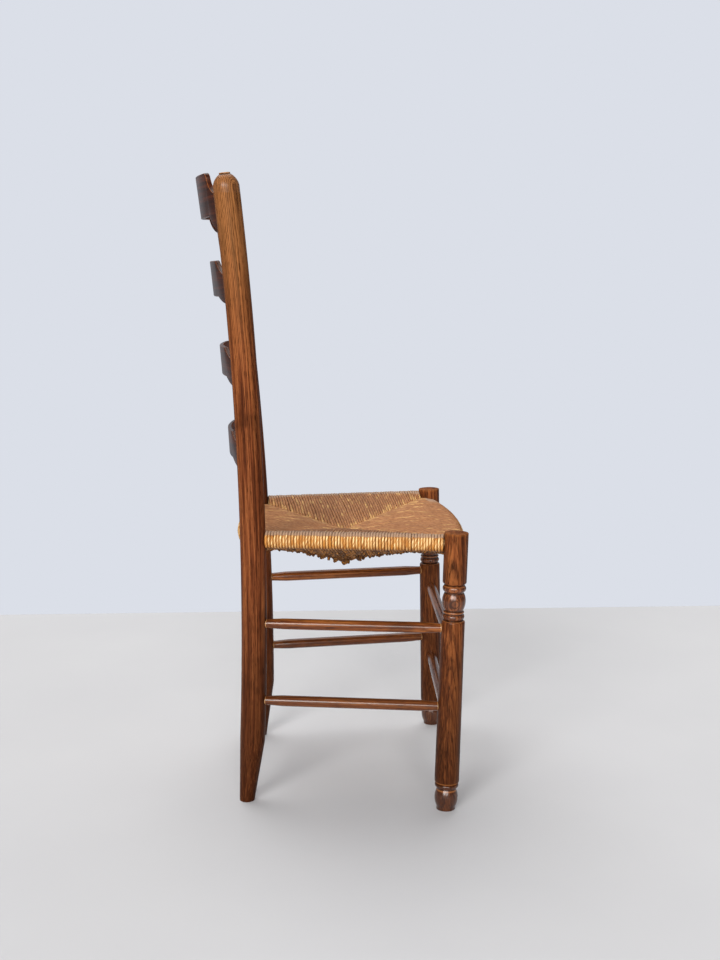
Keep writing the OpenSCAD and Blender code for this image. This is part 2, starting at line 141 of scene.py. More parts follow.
class Graph:
    """A node tree that is built from expressions."""

    def __init__(self, tree: NodeTree) -> None:
        """Empty the tree of a material or a world."""
        self.tree = tree
        tree.nodes.clear()

    def node(
        self,
        kind: str,
        settings: dict[str, object] | None = None,
        values: dict[str | int, object] | None = None,
        output: str | int | None = 0,
    ) -> Signal | tuple[Signal, ...]:
        """Add a node, set it up and feed its sockets.

        Args:
            kind: Blender's name of the node's type, without the ShaderNode that it begins with.
            settings: Properties of the node, which are set first.
            values: Values or signals by socket name or number.
            output: Name or number of the socket to return; None stands for all of them.

        Returns:
            The chosen output.
        """
        made = self.tree.nodes.new(f"ShaderNode{kind}")
        for name, value in (settings or {}).items():
            setattr(made, name, value)
        for name, value in (values or {}).items():
            if isinstance(value, Signal):
                self.tree.links.new(value.socket, made.inputs[name])
            else:
                made.inputs[name].default_value = value
        if output is None or not made.outputs:
            return tuple(Signal(self, socket) for socket in made.outputs)
        return Signal(self, made.outputs[output])

    def mix(self, share: object, under: Signal | Tint, over: Signal | Tint) -> Signal:
        """Mix two colours.

        Args:
            share: How much of the second colour shows.
            under: First colour, as a signal or a display colour.
            over: Second colour.

        Returns:
            The mixed colour.
        """
        under, over = (c if isinstance(c, Signal) else paint(*c) for c in (under, over))
        return self.node("Mix", {"data_type": "RGBA"}, {0: share, 6: under, 7: over}, output=2)

    def stretch(self, place: Signal, scale: Sequence[float]) -> Signal:
        """Scale a vector along its axes."""
        return self.node("VectorMath", {"operation": "MULTIPLY"}, {0: place, 1: tuple(scale)})

    def cloud(
        self, place: Signal, scale: float = 1.0, detail: float = 2.0, roughness: float = 0.5
    ) -> Signal:
        """Noise between 0 and 1.

        Args:
            place: Where to read it.
            scale: Features per unit of place.
            detail: Octaves.
            roughness: Share of the finer octaves.

        Returns:
            The noise.
        """
        values = {"Vector": place, "Scale": scale, "Detail": detail, "Roughness": roughness}
        return self.node("TexNoise", None, values)

    def streaks(self, place: Signal, across: float, along: float, detail: float = 2.0) -> Signal:
        """Noise drawn out along Z, with so many features per metre across and along it."""
        return self.cloud(self.stretch(place, (across, across, along)), detail=detail)

    def spot(self) -> Signal:
        """Place in the chair's frame."""
        return self.node("TexCoord", output="Object")

    def read(self, name: str, output: str = "Fac") -> Signal:
        """What a piece carries under a name."""
        return self.node("Attribute", {"attribute_name": name}, output=output)

    def split(self, place: Signal) -> tuple[Signal, ...]:
        """The three components of a vector."""
        return self.node("SeparateXYZ", None, {0: place}, output=None)

    def join(self, x: object, y: object, z: object) -> Signal:
        """A vector from three components."""
        return self.node("CombineXYZ", None, {0: x, 1: y, 2: z})

    def relief(self, height: Signal, depth: float) -> Signal:
        """Bump that feeds a normal; depth is the height of 1 in metres."""
        return self.node("Bump", None, {"Height": height, "Distance": depth, "Strength": 1.0})


@dataclass(frozen=True)
class Finish:
    """A finish: what its material is called and how its surface is mixed."""

    name: str

    def surface(self, graph: Graph) -> Signal:
        """Mix the shader; each finish has its own."""
        raise NotImplementedError

    def build(self) -> Material:
        """Make the material.

        Returns:
            The material.
        """
        material = bpy.data.materials.new(self.name)
        material.use_nodes = True
        graph = Graph(material.node_tree)
        graph.node("OutputMaterial", None, {"Surface": self.surface(graph)})
        return material


class GrainSource(Enum):
    """Where a timber material reads the direction of the grain."""

    PIECE = "carried by the piece"
    LONG_X = "along the object's X"
    LONG_Y = "along the object's Y"


@dataclass(frozen=True)
class TimberFinish(Finish):
    """Open-grained timber under stain and varnish, or bare.

    The age mark that a piece carries runs from -1 in darkened grooves over 0 to 1 on rubbed edges
    and painted highlights, and 2 where the wood is raw. Some finishes also paint light onto the
    top of a piece and shade towards the floor.
    """

    shade: Tint
    body: Tint
    glow: Tint
    pore: Tint
    # Colour of rubbed edges, also used for painted highlights on crowns and slat arrises.
    rubbed_and_sheen: Tint = (170, 106, 56)
    # Lighter colour towards the top: sun-faded wood, with painted light on it.
    faded_and_lit_top: Tint = (168, 110, 58)
    raw: Tint = (184, 146, 100)
    grain: GrainSource = GrainSource.PIECE
    ring_pitch: float = 3.1 * MM
    ring_strength: float = 0.55
    gloss: float = 0.36
    varnish: float = 0.22
    shine: float = 0.16
    polish: float = 0.3
    polished: tuple[tuple[float, float], ...] = ()
    polish_fade: float = 2 * MM
    matte: float = 0.3
    dull_above: float = 9.0
    unevenness: float = 1.0
    tint: Colour = (1.0, 0.64, 0.40, 1.0)
    pore_strength: float = 0.7
    # Painted shade: share and heights over which the colour darkens towards the floor.
    painted_low_shade: float = 0.0
    painted_low_shade_levels: tuple[float, float] = (0.46, 0.05)
    # Share and heights of that lighter top, which is partly painted light.
    sun: float = 0.0
    sun_levels: tuple[float, float] = (0.70, 0.98)
    relief_depth: float = 0.05 * MM

    def _place(self, graph: Graph) -> Signal:
        """Find where the surface lies in its board.

        Args:
            graph: Graph of the material.

        Returns:
            Vector across the grain in X and Y and along it in Z.
        """
        if self.grain is GrainSource.PIECE:
            return graph.read(TIMBER, "Vector")
        x, y, z = graph.split(graph.spot())
        return graph.join(y, z, x) if self.grain is GrainSource.LONG_X else graph.join(x, z, y)

    def _figure(self, graph: Graph) -> tuple[Signal, Signal, Signal, Signal]:
        """Draw the grain.

        Args:
            graph: Graph of the material.

        Returns:
            Masks of the broad tone, the porous early wood, the open pores and the fine fibre.
        """
        place = self._place(graph)
        drift = graph.streaks(place, 18, 2.6)
        waver = graph.streaks(place, 60, 9)
        wander = graph.stretch(graph.join(drift, waver, 0.0), (0.012, 0.004, 0.0))
        bent = graph.node("VectorMath", {"operation": "ADD"}, {0: place, 1: wander})
        x, y, _ = graph.split(bent)
        rings = ((x * x + y * y) ** 0.5 / self.ring_pitch).fraction()
        early = rings.ramp(0.0, 0.10) * rings.ramp(0.66, 0.24)
        streak = graph.cloud(graph.stretch(place, (230, 230, 5)), detail=3.0, roughness=0.6)
        tone = streak * 0.68 + graph.streaks(place, 38, 5) * 0.32
        fleck = graph.streaks(place, 860, 60, detail=1.0)
        dash = graph.streaks(place, 1500, 60, detail=1.0)
        open_pores = fleck.ramp(0.52, 0.64) * (0.3 + 0.7 * early) + dash.ramp(0.56, 0.68) * 0.5
        return tone, early, open_pores.ramp(0.0, 0.9), graph.streaks(place, 900, 14)

    def _coat(self, height: Signal) -> Signal | float:
        """Work out how much varnish is left.

        Args:
            height: Height above the floor.

        Returns:
            The weight of the coat.
        """
        if not self.polished:
            return self.varnish
        fade = self.polish_fade
        share = height.ramp(self.dull_above, self.dull_above - fade) * self.matte
        for low, high in self.polished:
            band = height.ramp(low - fade, low) * height.ramp(high + fade, high)
            share = share + band * (1 - self.matte)
        return share * self.varnish

    def surface(self, graph: Graph) -> Signal:
        """Lay stain, pores, dark grooves, wear, painted light and shade, varnish over the grain.

        Args:
            graph: Graph of the material.

        Returns:
            The shader.
        """
        tone, early, pores, fine = self._figure(graph)
        age = graph.read(AGE_AND_SHEEN)
        _, _, height = graph.split(graph.spot())
        blotch = graph.cloud(graph.spot(), 14.0, 3.0)

        colour = graph.mix(tone.ramp(0.41, 0.49), self.shade, self.body)
        colour = graph.mix(tone.ramp(0.50, 0.58), colour, self.glow)
        # Partly painted light: the top of the piece turns lighter, as well as for fading.
        if self.sun:
            colour = graph.mix(height.ramp(*self.sun_levels) * self.sun, colour, self.faded_and_lit_top)
        # Painted shade: darker towards the floor, where less light falls.
        if self.painted_low_shade:
            colour = graph.mix(height.ramp(*self.painted_low_shade_levels) * self.painted_low_shade, colour, self.pore)
        colour = graph.mix(fine.ramp(0.46, 0.66) * 0.25, colour, self.glow)
        colour = graph.mix(early * self.ring_strength, colour, self.shade)
        colour = graph.mix(blotch.ramp(0.54, 0.70) * 0.35, colour, self.pore)
        colour = graph.mix(pores * self.pore_strength, colour, self.pore)
        # Rubbed edges take the rubbed colour, and so do the painted highlights that share their
        # mark.
        colour = graph.mix(age.ramp(0.1, 1.0) * (0.3 + 0.5 * blotch), colour, self.rubbed_and_sheen)
        colour = graph.mix(age.ramp(-0.1, -1.0) * 0.75, colour, self.pore)
        bare = age.ramp(1.3, 1.7)
        colour = graph.mix(bare, colour, graph.mix(fine, self.raw, self.rubbed_and_sheen))

        patchy = 0.08 * tone + 0.18 * pores + 0.06 * early
        dull = height.ramp(self.dull_above - self.polish_fade, self.dull_above)
        relief = 0.25 * fine + 0.6 * (1 - pores) + 0.15 * (1 - early)
        values = {
            "Base Color": colour,
            "Roughness": self.gloss + self.unevenness * patchy + 0.3 * bare + 0.2 * dull,
            "Specular IOR Level": self.shine,
            "Specular Tint": self.tint,
            "Normal": graph.relief(relief, self.relief_depth),
            "Coat Weight": self._coat(height),
            "Coat Roughness": self.polish,
        }
        return graph.node("BsdfPrincipled", None, values)


@dataclass(frozen=True)
class RushFinish(Finish):
    """Twisted rush cord: tanned on top, golden round the rails, dark beneath.

    Light and shade are painted in: a grey sheen on the tops of the side rolls, light, highlights
    and shade on the golden band, highlights among the pale straw streaks, and shade in the gaps
    between strands and among the stems beneath.

    The strand's own chart runs along it in metres, from the outer side of the rail, with the top
    positive; across it, a quarter is the strand's outer line.
    """

    name: str = "rush_cord"
    worn: Tint = (178, 122, 76)
    deep: Tint = (134, 84, 46)
    # Pale straw: pale fibres, with painted highlights among them.
    straw_and_highlight: Tint = (232, 186, 116)
    # Painted sheen: grey for the reflection on the tops of the side rolls.
    painted_sheen: Tint = (172, 142, 118)
    # Golden band round the rails: the cord's colour, brightened by painted light on the roll's
    # side.
    golden_and_lit: Tint = (200, 132, 54)
    # Amber: a darker tone of some strands, and painted shade on the lower band.
    amber_and_shade: Tint = (146, 82, 28)
    # Painted highlight on the golden band.
    painted_highlight: Tint = (255, 228, 168)
    below: Tint = (206, 136, 58)
    # Dark colour beneath the seat: dirt, and painted shade between the stems.
    dirt: Tint = (44, 22, 9)
    # Painted shade in the gaps between strands: on the top, and on the golden band.
    painted_gap_shade: Tint = (58, 32, 16)
    painted_band_gap_shade: Tint = (80, 38, 10)
    lay_per_metre: float = 34.0
    outer_line: float = 0.25
    band_top: float = 8.6 * MM
    band_foot: float = -20.0 * MM
    # Upper edge of the painted grey sheen, round the rail.
    painted_sheen_top: float = 27.0 * MM
    relief_depth: float = 0.8 * MM

    def _masks(self, edge: Signal) -> tuple[Signal, Signal, Signal]:
        """Find where a strand is golden, painted with a grey sheen, and unlit.

        Args:
            edge: Distance round the rail.

        Returns:
            The three masks.
        """
        foot, top, painted_sheen_limit = self.band_foot, self.band_top, self.painted_sheen_top
        band = edge.ramp(foot - 2 * MM, foot + 4 * MM) * edge.ramp(top + 0.7 * MM, top - 0.7 * MM)
        painted_sheen = edge.ramp(top, top + 1 * MM) * edge.ramp(painted_sheen_limit + 5 * MM, painted_sheen_limit)
        return band, painted_sheen, edge.ramp(foot + 2 * MM, foot - 8 * MM)

    def surface(self, graph: Graph) -> Signal:
        """Lay the fibres, the wear, the golden band, and the painted sheen, highlights and shade.

        Args:
            graph: Graph of the material.

        Returns:
            The shader.
        """
        along, around, _ = graph.split(graph.node("UVMap", {"uv_map": STRAND_UV}))
        own, seam, spot = graph.read(TONE), graph.read(SEAM), graph.spot()
        out, _, _ = graph.split(spot)

        lay = (around + along * self.lay_per_metre) * 8
        fibre = graph.cloud(graph.join(along * 40, lay, own * 90), detail=3.0, roughness=0.65)
        patch = graph.cloud(graph.join(along * 26, own * 61, around * 0.7))
        wear = graph.cloud(spot, 11.0, 3.0)
        off_line = (around - self.outer_line).absolute()
        band, painted_sheen, under = self._masks(
            along + 0.0016 * (patch - 0.5) + 0.0014 * (own - 0.5) + 0.001 * (wear - 0.5)
        )

        top = graph.mix(fibre.ramp(0.34, 0.60), self.deep, self.worn)
        top = graph.mix(own.ramp(0.55, 1.0) * 0.25, top, self.deep)
        # Pale streaks, more near the seams: partly pale fibres, partly painted highlights.
        pale_and_highlight = (patch + 0.10 * seam + 0.12 * (wear - 0.5)).ramp(0.55, 0.66)
        pale_and_highlight = pale_and_highlight * (0.35 + 0.65 * fibre.ramp(0.40, 0.55))
        top = graph.mix(wear.ramp(0.60, 0.40) * 0.30, top, self.deep)
        top = graph.mix(pale_and_highlight * 0.54, top, self.straw_and_highlight)
        # Painted sheen: the tops of the side rolls turn grey for the reflection they show.
        painted_sheen = painted_sheen * out.absolute().ramp(0.135, 0.165)
        top = graph.mix(painted_sheen * 0.80, top, self.painted_sheen)
        # Golden band: the cord's own colour, brightened by painted light where the roll faces the
        # lamps.
        gold = graph.mix(fibre.ramp(0.30, 0.52), self.amber_and_shade, self.golden_and_lit)
        gold = graph.mix(own.ramp(0.35, 0.0) * 0.35, gold, self.amber_and_shade)
        # Painted shade: the band darkens towards its foot, where the roll turns under.
        gold = graph.mix(along.ramp(-4 * MM, -19 * MM) * 0.85, gold, self.amber_and_shade)
        # Painted highlight: glints along each strand's crest, strongest on the upper band.
        glint = graph.cloud(graph.join(along * 60, own * 47, around * 1.2), detail=1.0)
        upper = 0.3 + 0.7 * along.ramp(-14 * MM, 1 * MM)
        crest = 0.2 + 0.8 * off_line.ramp(0.09, 0.02)
        lit = glint.ramp(0.32, 0.60) * (0.1 + 0.9 * fibre.ramp(0.40, 0.58)) * upper * crest
        gold = graph.mix(lit, gold, self.painted_highlight)
        # Beneath the rail: dark dirt and painted shade between the stems, lighter tips.
        stems = fibre.ramp(0.38, 0.56) * (0.35 + 0.65 * own.ramp(0.1, 0.7))
        colour = graph.mix(band, top, gold)
        colour = graph.mix(under, colour, graph.mix(stems, self.dirt, self.below))
        # Painted shade: each strand darkens at its sides, most on the band and beneath.
        dark = off_line.ramp(0.10, 0.23) * (0.46 + 0.46 * band + 0.2 * under)
        colour = graph.mix(dark, colour, graph.mix(band, self.painted_gap_shade, self.painted_band_gap_shade))

        values = {
            "Base Color": colour,
            "Roughness": 0.66 - 0.24 * lit * band + 0.15 * under,
            "Specular IOR Level": 0.35,
            "Normal": graph.relief(fibre * 0.7 + patch * 0.3, self.relief_depth),
        }
        return graph.node("BsdfPrincipled", None, values)


@dataclass(frozen=True)
class StuffingFinish(Finish):
    """Broken rush that fills the pockets of the seat."""

    name: str = "rush_stuffing"
    dark: Tint = (52, 30, 16)
    light: Tint = (112, 74, 42)
    stems_per_metre: tuple[float, float, float] = (260, 60, 320)
    relief_depth: float = 1.2 * MM

    def surface(self, graph: Graph) -> Signal:
        """Lay broken stems.

        Args:
            graph: Graph of the material.

        Returns:
            The shader.
        """
        place = graph.stretch(graph.spot(), self.stems_per_metre)
        stems = graph.cloud(place, detail=3.0, roughness=0.6)
        values = {
            "Base Color": graph.mix(stems.ramp(0.38, 0.66), self.dark, self.light),
            "Roughness": 0.7 + 0.2 * stems,
            "Normal": graph.relief(stems, self.relief_depth),
        }
        return graph.node("BsdfPrincipled", None, values)


@dataclass(frozen=True)
class FloorPaper(Finish):
    """Pale paper with a faint mottle, clear from below."""

    name: str = "floor_paper"
    dark: Tint = (203, 203, 206)
    light: Tint = (211, 211, 213)

    def surface(self, graph: Graph) -> Signal:
        """Lay the paper.

        Args:
            graph: Graph of the material.

        Returns:
            The shader.
        """
        colour = graph.mix(graph.cloud(graph.spot(), 3.0, 3.0), self.dark, self.light)
        paper = graph.node("BsdfPrincipled", None, {"Base Color": colour, "Roughness": 0.9})
        clear = graph.node("BsdfTransparent")
        back = graph.node("NewGeometry", output="Backfacing")
        return graph.node("MixShader", None, {0: back, 1: paper, 2: clear})


@dataclass(frozen=True)
class SheetGlow(Finish):
    """Pale cloth that the camera and the varnish see, and that casts no light."""

    name: str = "sheet_glow"
    mirrored: float = 0.42

    def surface(self, graph: Graph) -> Signal:
        """Glow in the backdrop's colour.

        Args:
            graph: Graph of the material.

        Returns:
            The shader.
        """
        seen = graph.node("LightPath", output="Is Camera Ray")
        shown = seen + graph.node("LightPath", output="Is Glossy Ray") * self.mirrored
        front = 1 - graph.node("NewGeometry", output="Backfacing")
        glow = graph.node("Emission", None, {"Color": paint(*BACKDROP), "Strength": 1.0})
        clear = graph.node("BsdfTransparent")
        return graph.node("MixShader", None, {0: shown * front, 1: clear, 2: glow})


# Rear posts: lighter towards the top, partly painted light; painted shade darkens them near the
# floor.
REAR_POST_FINISH = TimberFinish(
    "rear_post_timber", (74, 35, 18), (116, 60, 32), (154, 90, 50), (40, 16, 4),
    faded_and_lit_top=(172, 118, 68), sun=0.62, painted_low_shade=0.86, ring_pitch=2.6 * MM, ring_strength=0.5,
    varnish=0.5, polish=0.3, polished=((0.985, 1.1),), matte=0.15, shine=0.04,
    pore_strength=0.75,
)
# Front posts: painted shade darkens them towards the floor.
FRONT_POST_FINISH = TimberFinish(
    "front_post_timber", (70, 33, 15), (112, 58, 29), (152, 88, 46), (34, 14, 3),
    painted_low_shade=0.76, ring_pitch=2.7 * MM, ring_strength=0.45, varnish=0.9, polish=0.22,
    polished=((0.0, 0.042), (0.316, 0.374)), matte=0.12, dull_above=0.4575, shine=0.08,
    pore_strength=0.75,
)
SLAT_FINISH = TimberFinish(
    "slat_timber", (46, 19, 9), (62, 27, 13), (86, 40, 19), (30, 13, 7),
    rubbed_and_sheen=(176, 104, 54), gloss=0.28, shine=0.12, ring_strength=0.05, pore_strength=0.2,
    relief_depth=0.0, unevenness=0.0, polish=0.3,
)
# Stretchers: painted shade darkens the lower rungs.
STRETCHER_FINISH = TimberFinish(
    "stretcher_timber", (92, 44, 18), (142, 76, 30), (178, 106, 48), (42, 18, 7),
    rubbed_and_sheen=(196, 146, 92), gloss=0.30, shine=0.08, varnish=0.75, polish=0.18, painted_low_shade=0.85,
    relief_depth=0.02 * MM,
)
SIDE_RAIL_FINISH, CROSS_RAIL_FINISH = (
    TimberFinish(
        f"{rail}_rail_timber", (150, 112, 70), (188, 150, 104), (210, 178, 132), (116, 82, 50),
        grain=grain, gloss=0.6, varnish=0.0, shine=0.3,
    )
    for rail, grain in (("side", GrainSource.LONG_Y), ("cross", GrainSource.LONG_X))
)


# ---------------------------------------------------------------- workshop


def bow_radius(half_chord: float, sag: float) -> float:
    """Radius of the circle whose arc bows by sag over a chord of twice half_chord."""
    return (half_chord**2 + sag**2) / (2 * sag)


def spread(low: float, high: float, count: int) -> list[float]:
    """Evenly spaced values from low to high, count steps apart."""
    return [low + (high - low) * k / count for k in range(count + 1)]


def near(radius: float, height: float, *steps: tuple[float, float]) -> Outline:
    """Points of an outline, each so many millimetres out from and above one place."""
    return [(radius + out * MM, height + rise * MM) for out, rise in steps]


def shift(x: float, y: float, z: float) -> Matrix:
    """Matrix that moves by x, y and z."""
    return Matrix.Translation((x, y, z))


def turn(angle: float, axis: str) -> Matrix:
    """Matrix that turns by an angle about an axis."""
    return Matrix.Rotation(angle, 4, axis)


def facing(start: Vector, heading: Vector) -> Matrix:
    """Frame at start with +Z along a heading."""
    return Matrix.Translation(start) @ heading.to_track_quat("Z", "Y").to_matrix().to_4x4()


def whole(bm: BMesh) -> list:
    """Every part of a mesh."""
    return bm.verts[:] + bm.edges[:] + bm.faces[:]


def open_edges(bm: BMesh) -> list[BMEdge]:
    """The edges that have one face."""
    return [edge for edge in bm.edges if edge.is_boundary]


def close_ends(bm: BMesh) -> None:
    """Fill each open loop of edges."""
    bmesh.ops.edgeloop_fill(bm, edges=open_edges(bm))


def saw_at_floor(bm: BMesh) -> None:
    """Cut off what is below the floor and close the cut.

    Args:
        bm: Mesh of a piece that stands on the floor.
    """
    bmesh.ops.bisect_plane(
        bm, geom=whole(bm), plane_co=(0, 0, 0), plane_no=(0, 0, 1), clear_inner=True
    )
    close_ends(bm)


def turn_on_lathe(outline: Outline, segments: int) -> BMesh:
    """Spin a half-outline about Z into a closed solid.

    Args:
        outline: Radius and height of each point, in order; it starts and ends on the axis.
        segments: Steps round the axis.

    Returns:
        The turned mesh.
    """
    bm = bmesh.new()
    verts = [bm.verts.new((radius, 0, height)) for radius, height in outline]
    edges = [bm.edges.new(pair) for pair in zip(verts, verts[1:])]
    bmesh.ops.spin(
        bm, geom=verts + edges, cent=(0, 0, 0), axis=(0, 0, 1), angle=math.tau,
        steps=segments, use_merge=True,
    )
    bmesh.ops.remove_doubles(bm, verts=bm.verts, dist=0.1 * WELD)
    return bm


def loft(bm: BMesh, ring: list[BMEdge], stations: Sequence[tuple[Matrix, float]]) -> None:
    """Draw a ring of edges out through a row of stations.

    Args:
        bm: Mesh that holds the ring.
        ring: Edges of the ring, at the first station.
        stations: Frame and radius of each station; the first is the ring's own.
    """
    for (here, size), (there, next_size) in zip(stations, stations[1:]):
        made = bmesh.ops.extrude_edge_only(bm, edges=ring)["geom"]
        verts = {part for part in made if isinstance(part, BMVert)}
        ring = [part for part in made if isinstance(part, BMEdge) and verts.issuperset(part.verts)]
        growth = Matrix.Scale(next_size / size, 4)
        bmesh.ops.transform(bm, matrix=there @ growth @ here.inverted(), verts=list(verts))


def make_piece(
    bm: BMesh,
    name: str,
    material: Material,
    slot: str,
    stands_for: str,
    crease: float = math.radians(38),
) -> Object:
    """Turn a mesh into a piece of the chair.

    Args:
        bm: Finished mesh in the chair's frame; it is freed.
        name: Name of the piece.
        material: Its finish.
        slot: The record's material slot; not used.
        stands_for: CAD node that it stands for.
        crease: Angle above which an edge stays sharp.

    Returns:
        The piece.
    """
    bmesh.ops.recalc_face_normals(bm, faces=bm.faces)
    mesh = bpy.data.meshes.new(name)
    bm.to_mesh(mesh)
    bm.free()
    mesh.shade_smooth()
    mesh.set_sharp_from_angle(angle=crease)
    mesh.materials.append(material)
    piece = bpy.data.objects.new(name, mesh)
    bpy.context.scene.collection.objects.link(piece)
    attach(piece, "root")
    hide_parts(stands_for)
    LOG.info("%s: %d faces", name, len(mesh.polygons))
    return piece


# ---------------------------------------------------------------- the plan of the chair


class Side(Enum):
    """A side of the chair, as the sitter names it."""

    LEFT = 1
    RIGHT = -1

    @property
    def word(self) -> str:
        """The side's name in lower case."""
        return self.name.lower()


@dataclass
class ChairPlan:
    """Sizes that place the posts, and the axes that follow from them."""

    front_spread: float = 406.4 * MM
    rear_spread: float = 317.6 * MM
    depth: float = 322.6 * MM
    level: float = 460 * MM
    rear_post_d: float = 41 * MM
    front_post_d: float = 38.2 * MM
    front_lean: float = math.radians(1.7)
    front_twist: float = math.radians(2.7)
    rear_twist: float = math.radians(2.0)
    twist_level: float = 312 * MM
    rear_splay: float = math.radians(0.62)
    bend_r: float = 5950 * MM
    bend_level: float = 374 * MM

    def __post_init__(self) -> None:
        """Read from the frame where the rear posts stand."""
        lowest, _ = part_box("rear_post_right")
        self.rear_y = lowest.y + self.rear_post_d / 2
        self.front_y = self.rear_y + self.bend_set(self.level) - self.depth

    def lean_of(self, side: Side) -> float:
        """Lean of a front post, in radians."""
        return self.front_lean - (self.front_twist if side is Side.LEFT else 0.0)

    def twist_of(self, side: Side) -> float:
        """Backward turn of a rear post beyond its bend, in radians."""
        return self.rear_twist if side is Side.LEFT else 0.0

    def bend_set(self, height: float) -> float:
        """Backward set of a bent post's axis at a height along it."""
        return self.bend_r - math.sqrt(self.bend_r**2 - (height - self.bend_level) ** 2)

    def bend_lean(self, height: float) -> float:
        """Backward lean of a bent post at a height along it, in radians."""
        return math.asin((height - self.bend_level) / self.bend_r)

    def on_bend(self, height: float) -> Matrix:
        """Frame on the bent axis at a height along it, with +Z along the post."""
        return shift(0, self.bend_set(height), height) @ turn(-self.bend_lean(height), "X")

    def along_post(self, z: float) -> float:
        """Height along a splayed rear post at a true height."""
        return self.level + (z - self.level) / math.cos(self.rear_splay)

    def rear_axis(self, side: Side, z: float) -> Vector:
        """Find a point on a rear post's axis.

        Args:
            side: Side of the post.
            z: Height of the point.

        Returns:
            The point.
        """
        twist = self.twist_of(side)
        rise = (z - self.twist_level) / math.cos(twist) + self.bend_set(z) * math.tan(twist)
        height = self.along_post(self.twist_level + rise)
        out = self.rear_spread / 2 + (z - self.level) * math.tan(self.rear_splay)
        back = self.bend_set(height) * math.cos(twist)
        back += (height - self.twist_level) * math.sin(twist)
        return Vector((side.value * out, self.rear_y + back, z))

    def front_axis(self, side: Side, z: float) -> Vector:
        """Find a point on a front post's axis.

        Args:
            side: Side of the post.
            z: Height of the point.

        Returns:
            The point.
        """
        lean = self.lean_of(side)
        set_back = (self.level - self.twist_level) * (math.tan(self.front_lean) - math.tan(lean))
        y = self.front_y + set_back + (self.level - z) * math.tan(lean)
        return Vector((side.value * self.front_spread / 2, y, z))

    def rear_place(self, side: Side) -> Matrix:
        """Stand a rear post, turned at its bend and splayed, in the chair.

        Args:
            side: Side of the post.

        Returns:
            Matrix from the post's own upright plane to the chair.
        """
        out, rise = side.value * self.rear_spread / 2, self.level - self.twist_level
        twist, splay = turn(-self.twist_of(side), "X"), turn(side.value * self.rear_splay, "Y")
        stand = shift(0, self.rear_y, self.twist_level)
        return stand @ twist @ shift(out, 0, rise) @ splay @ shift(0, 0, -self.level)

    def front_place(self, side: Side) -> Matrix:
        """Matrix from a front post's own frame to the chair."""
        stand = Matrix.Translation(self.front_axis(side, self.level))
        return stand @ turn(self.lean_of(side), "X") @ shift(0, 0, -self.level)

    def slat_span(self, z: float) -> tuple[float, Matrix]:
        """Measure the gap that a slat bridges.

        Args:
            z: Height of the slat.

        Returns:
            Half the distance between the rear axes, and the slat's frame midway.
        """
        left, right = self.rear_axis(Side.LEFT, z), self.rear_axis(Side.RIGHT, z)
        run = left - right
        lean = self.bend_lean(self.along_post(z)) + self.rear_twist / 2
        place = Matrix.Translation((left + right) / 2) @ turn(math.atan2(run.y, run.x), "Z")
        return run.length / 2, place @ turn(-lean, "X")


# ---------------------------------------------------------------- posts, stretchers and slats


class WoodenPiece:
    """A piece of timber, shaped in its own frame, that stands for the CAD node of its name."""

    node: str
    way = "turned"
    slot = "post_wood"

    def shape(self) -> BMesh:
        """The piece in its own frame."""
        raise NotImplementedError

    def grain(self, spot: Vector) -> Sequence[float]:
        """Where a point lies across (x, y) and along (z) the board."""
        return spot

    def age(self, vert: BMVert) -> float:
        """Mark of a vertex: -1 darkened, 1 for rubbed edges and painted highlights, 2 raw."""
        return 0.0

    def settle(self, bm: BMesh) -> None:
        """Bring the piece to its place in the chair."""
        raise NotImplementedError

    def build(self, material: Material, offset: Sequence[float]) -> None:
        """Make the piece.

        Args:
            material: Its finish.
            offset: Place of the piece in its board, so that no two pieces match.
        """
        bm = self.shape()
        timber = bm.verts.layers.float_vector.new(TIMBER)
        age = bm.verts.layers.float.new(AGE_AND_SHEEN)
        for vert in bm.verts:
            vert[timber] = Vector(self.grain(vert.co)) + Vector(offset)
            vert[age] = self.age(vert)
        self.settle(bm)
        make_piece(bm, f"{self.node}_{self.way}", material, self.slot, self.node)


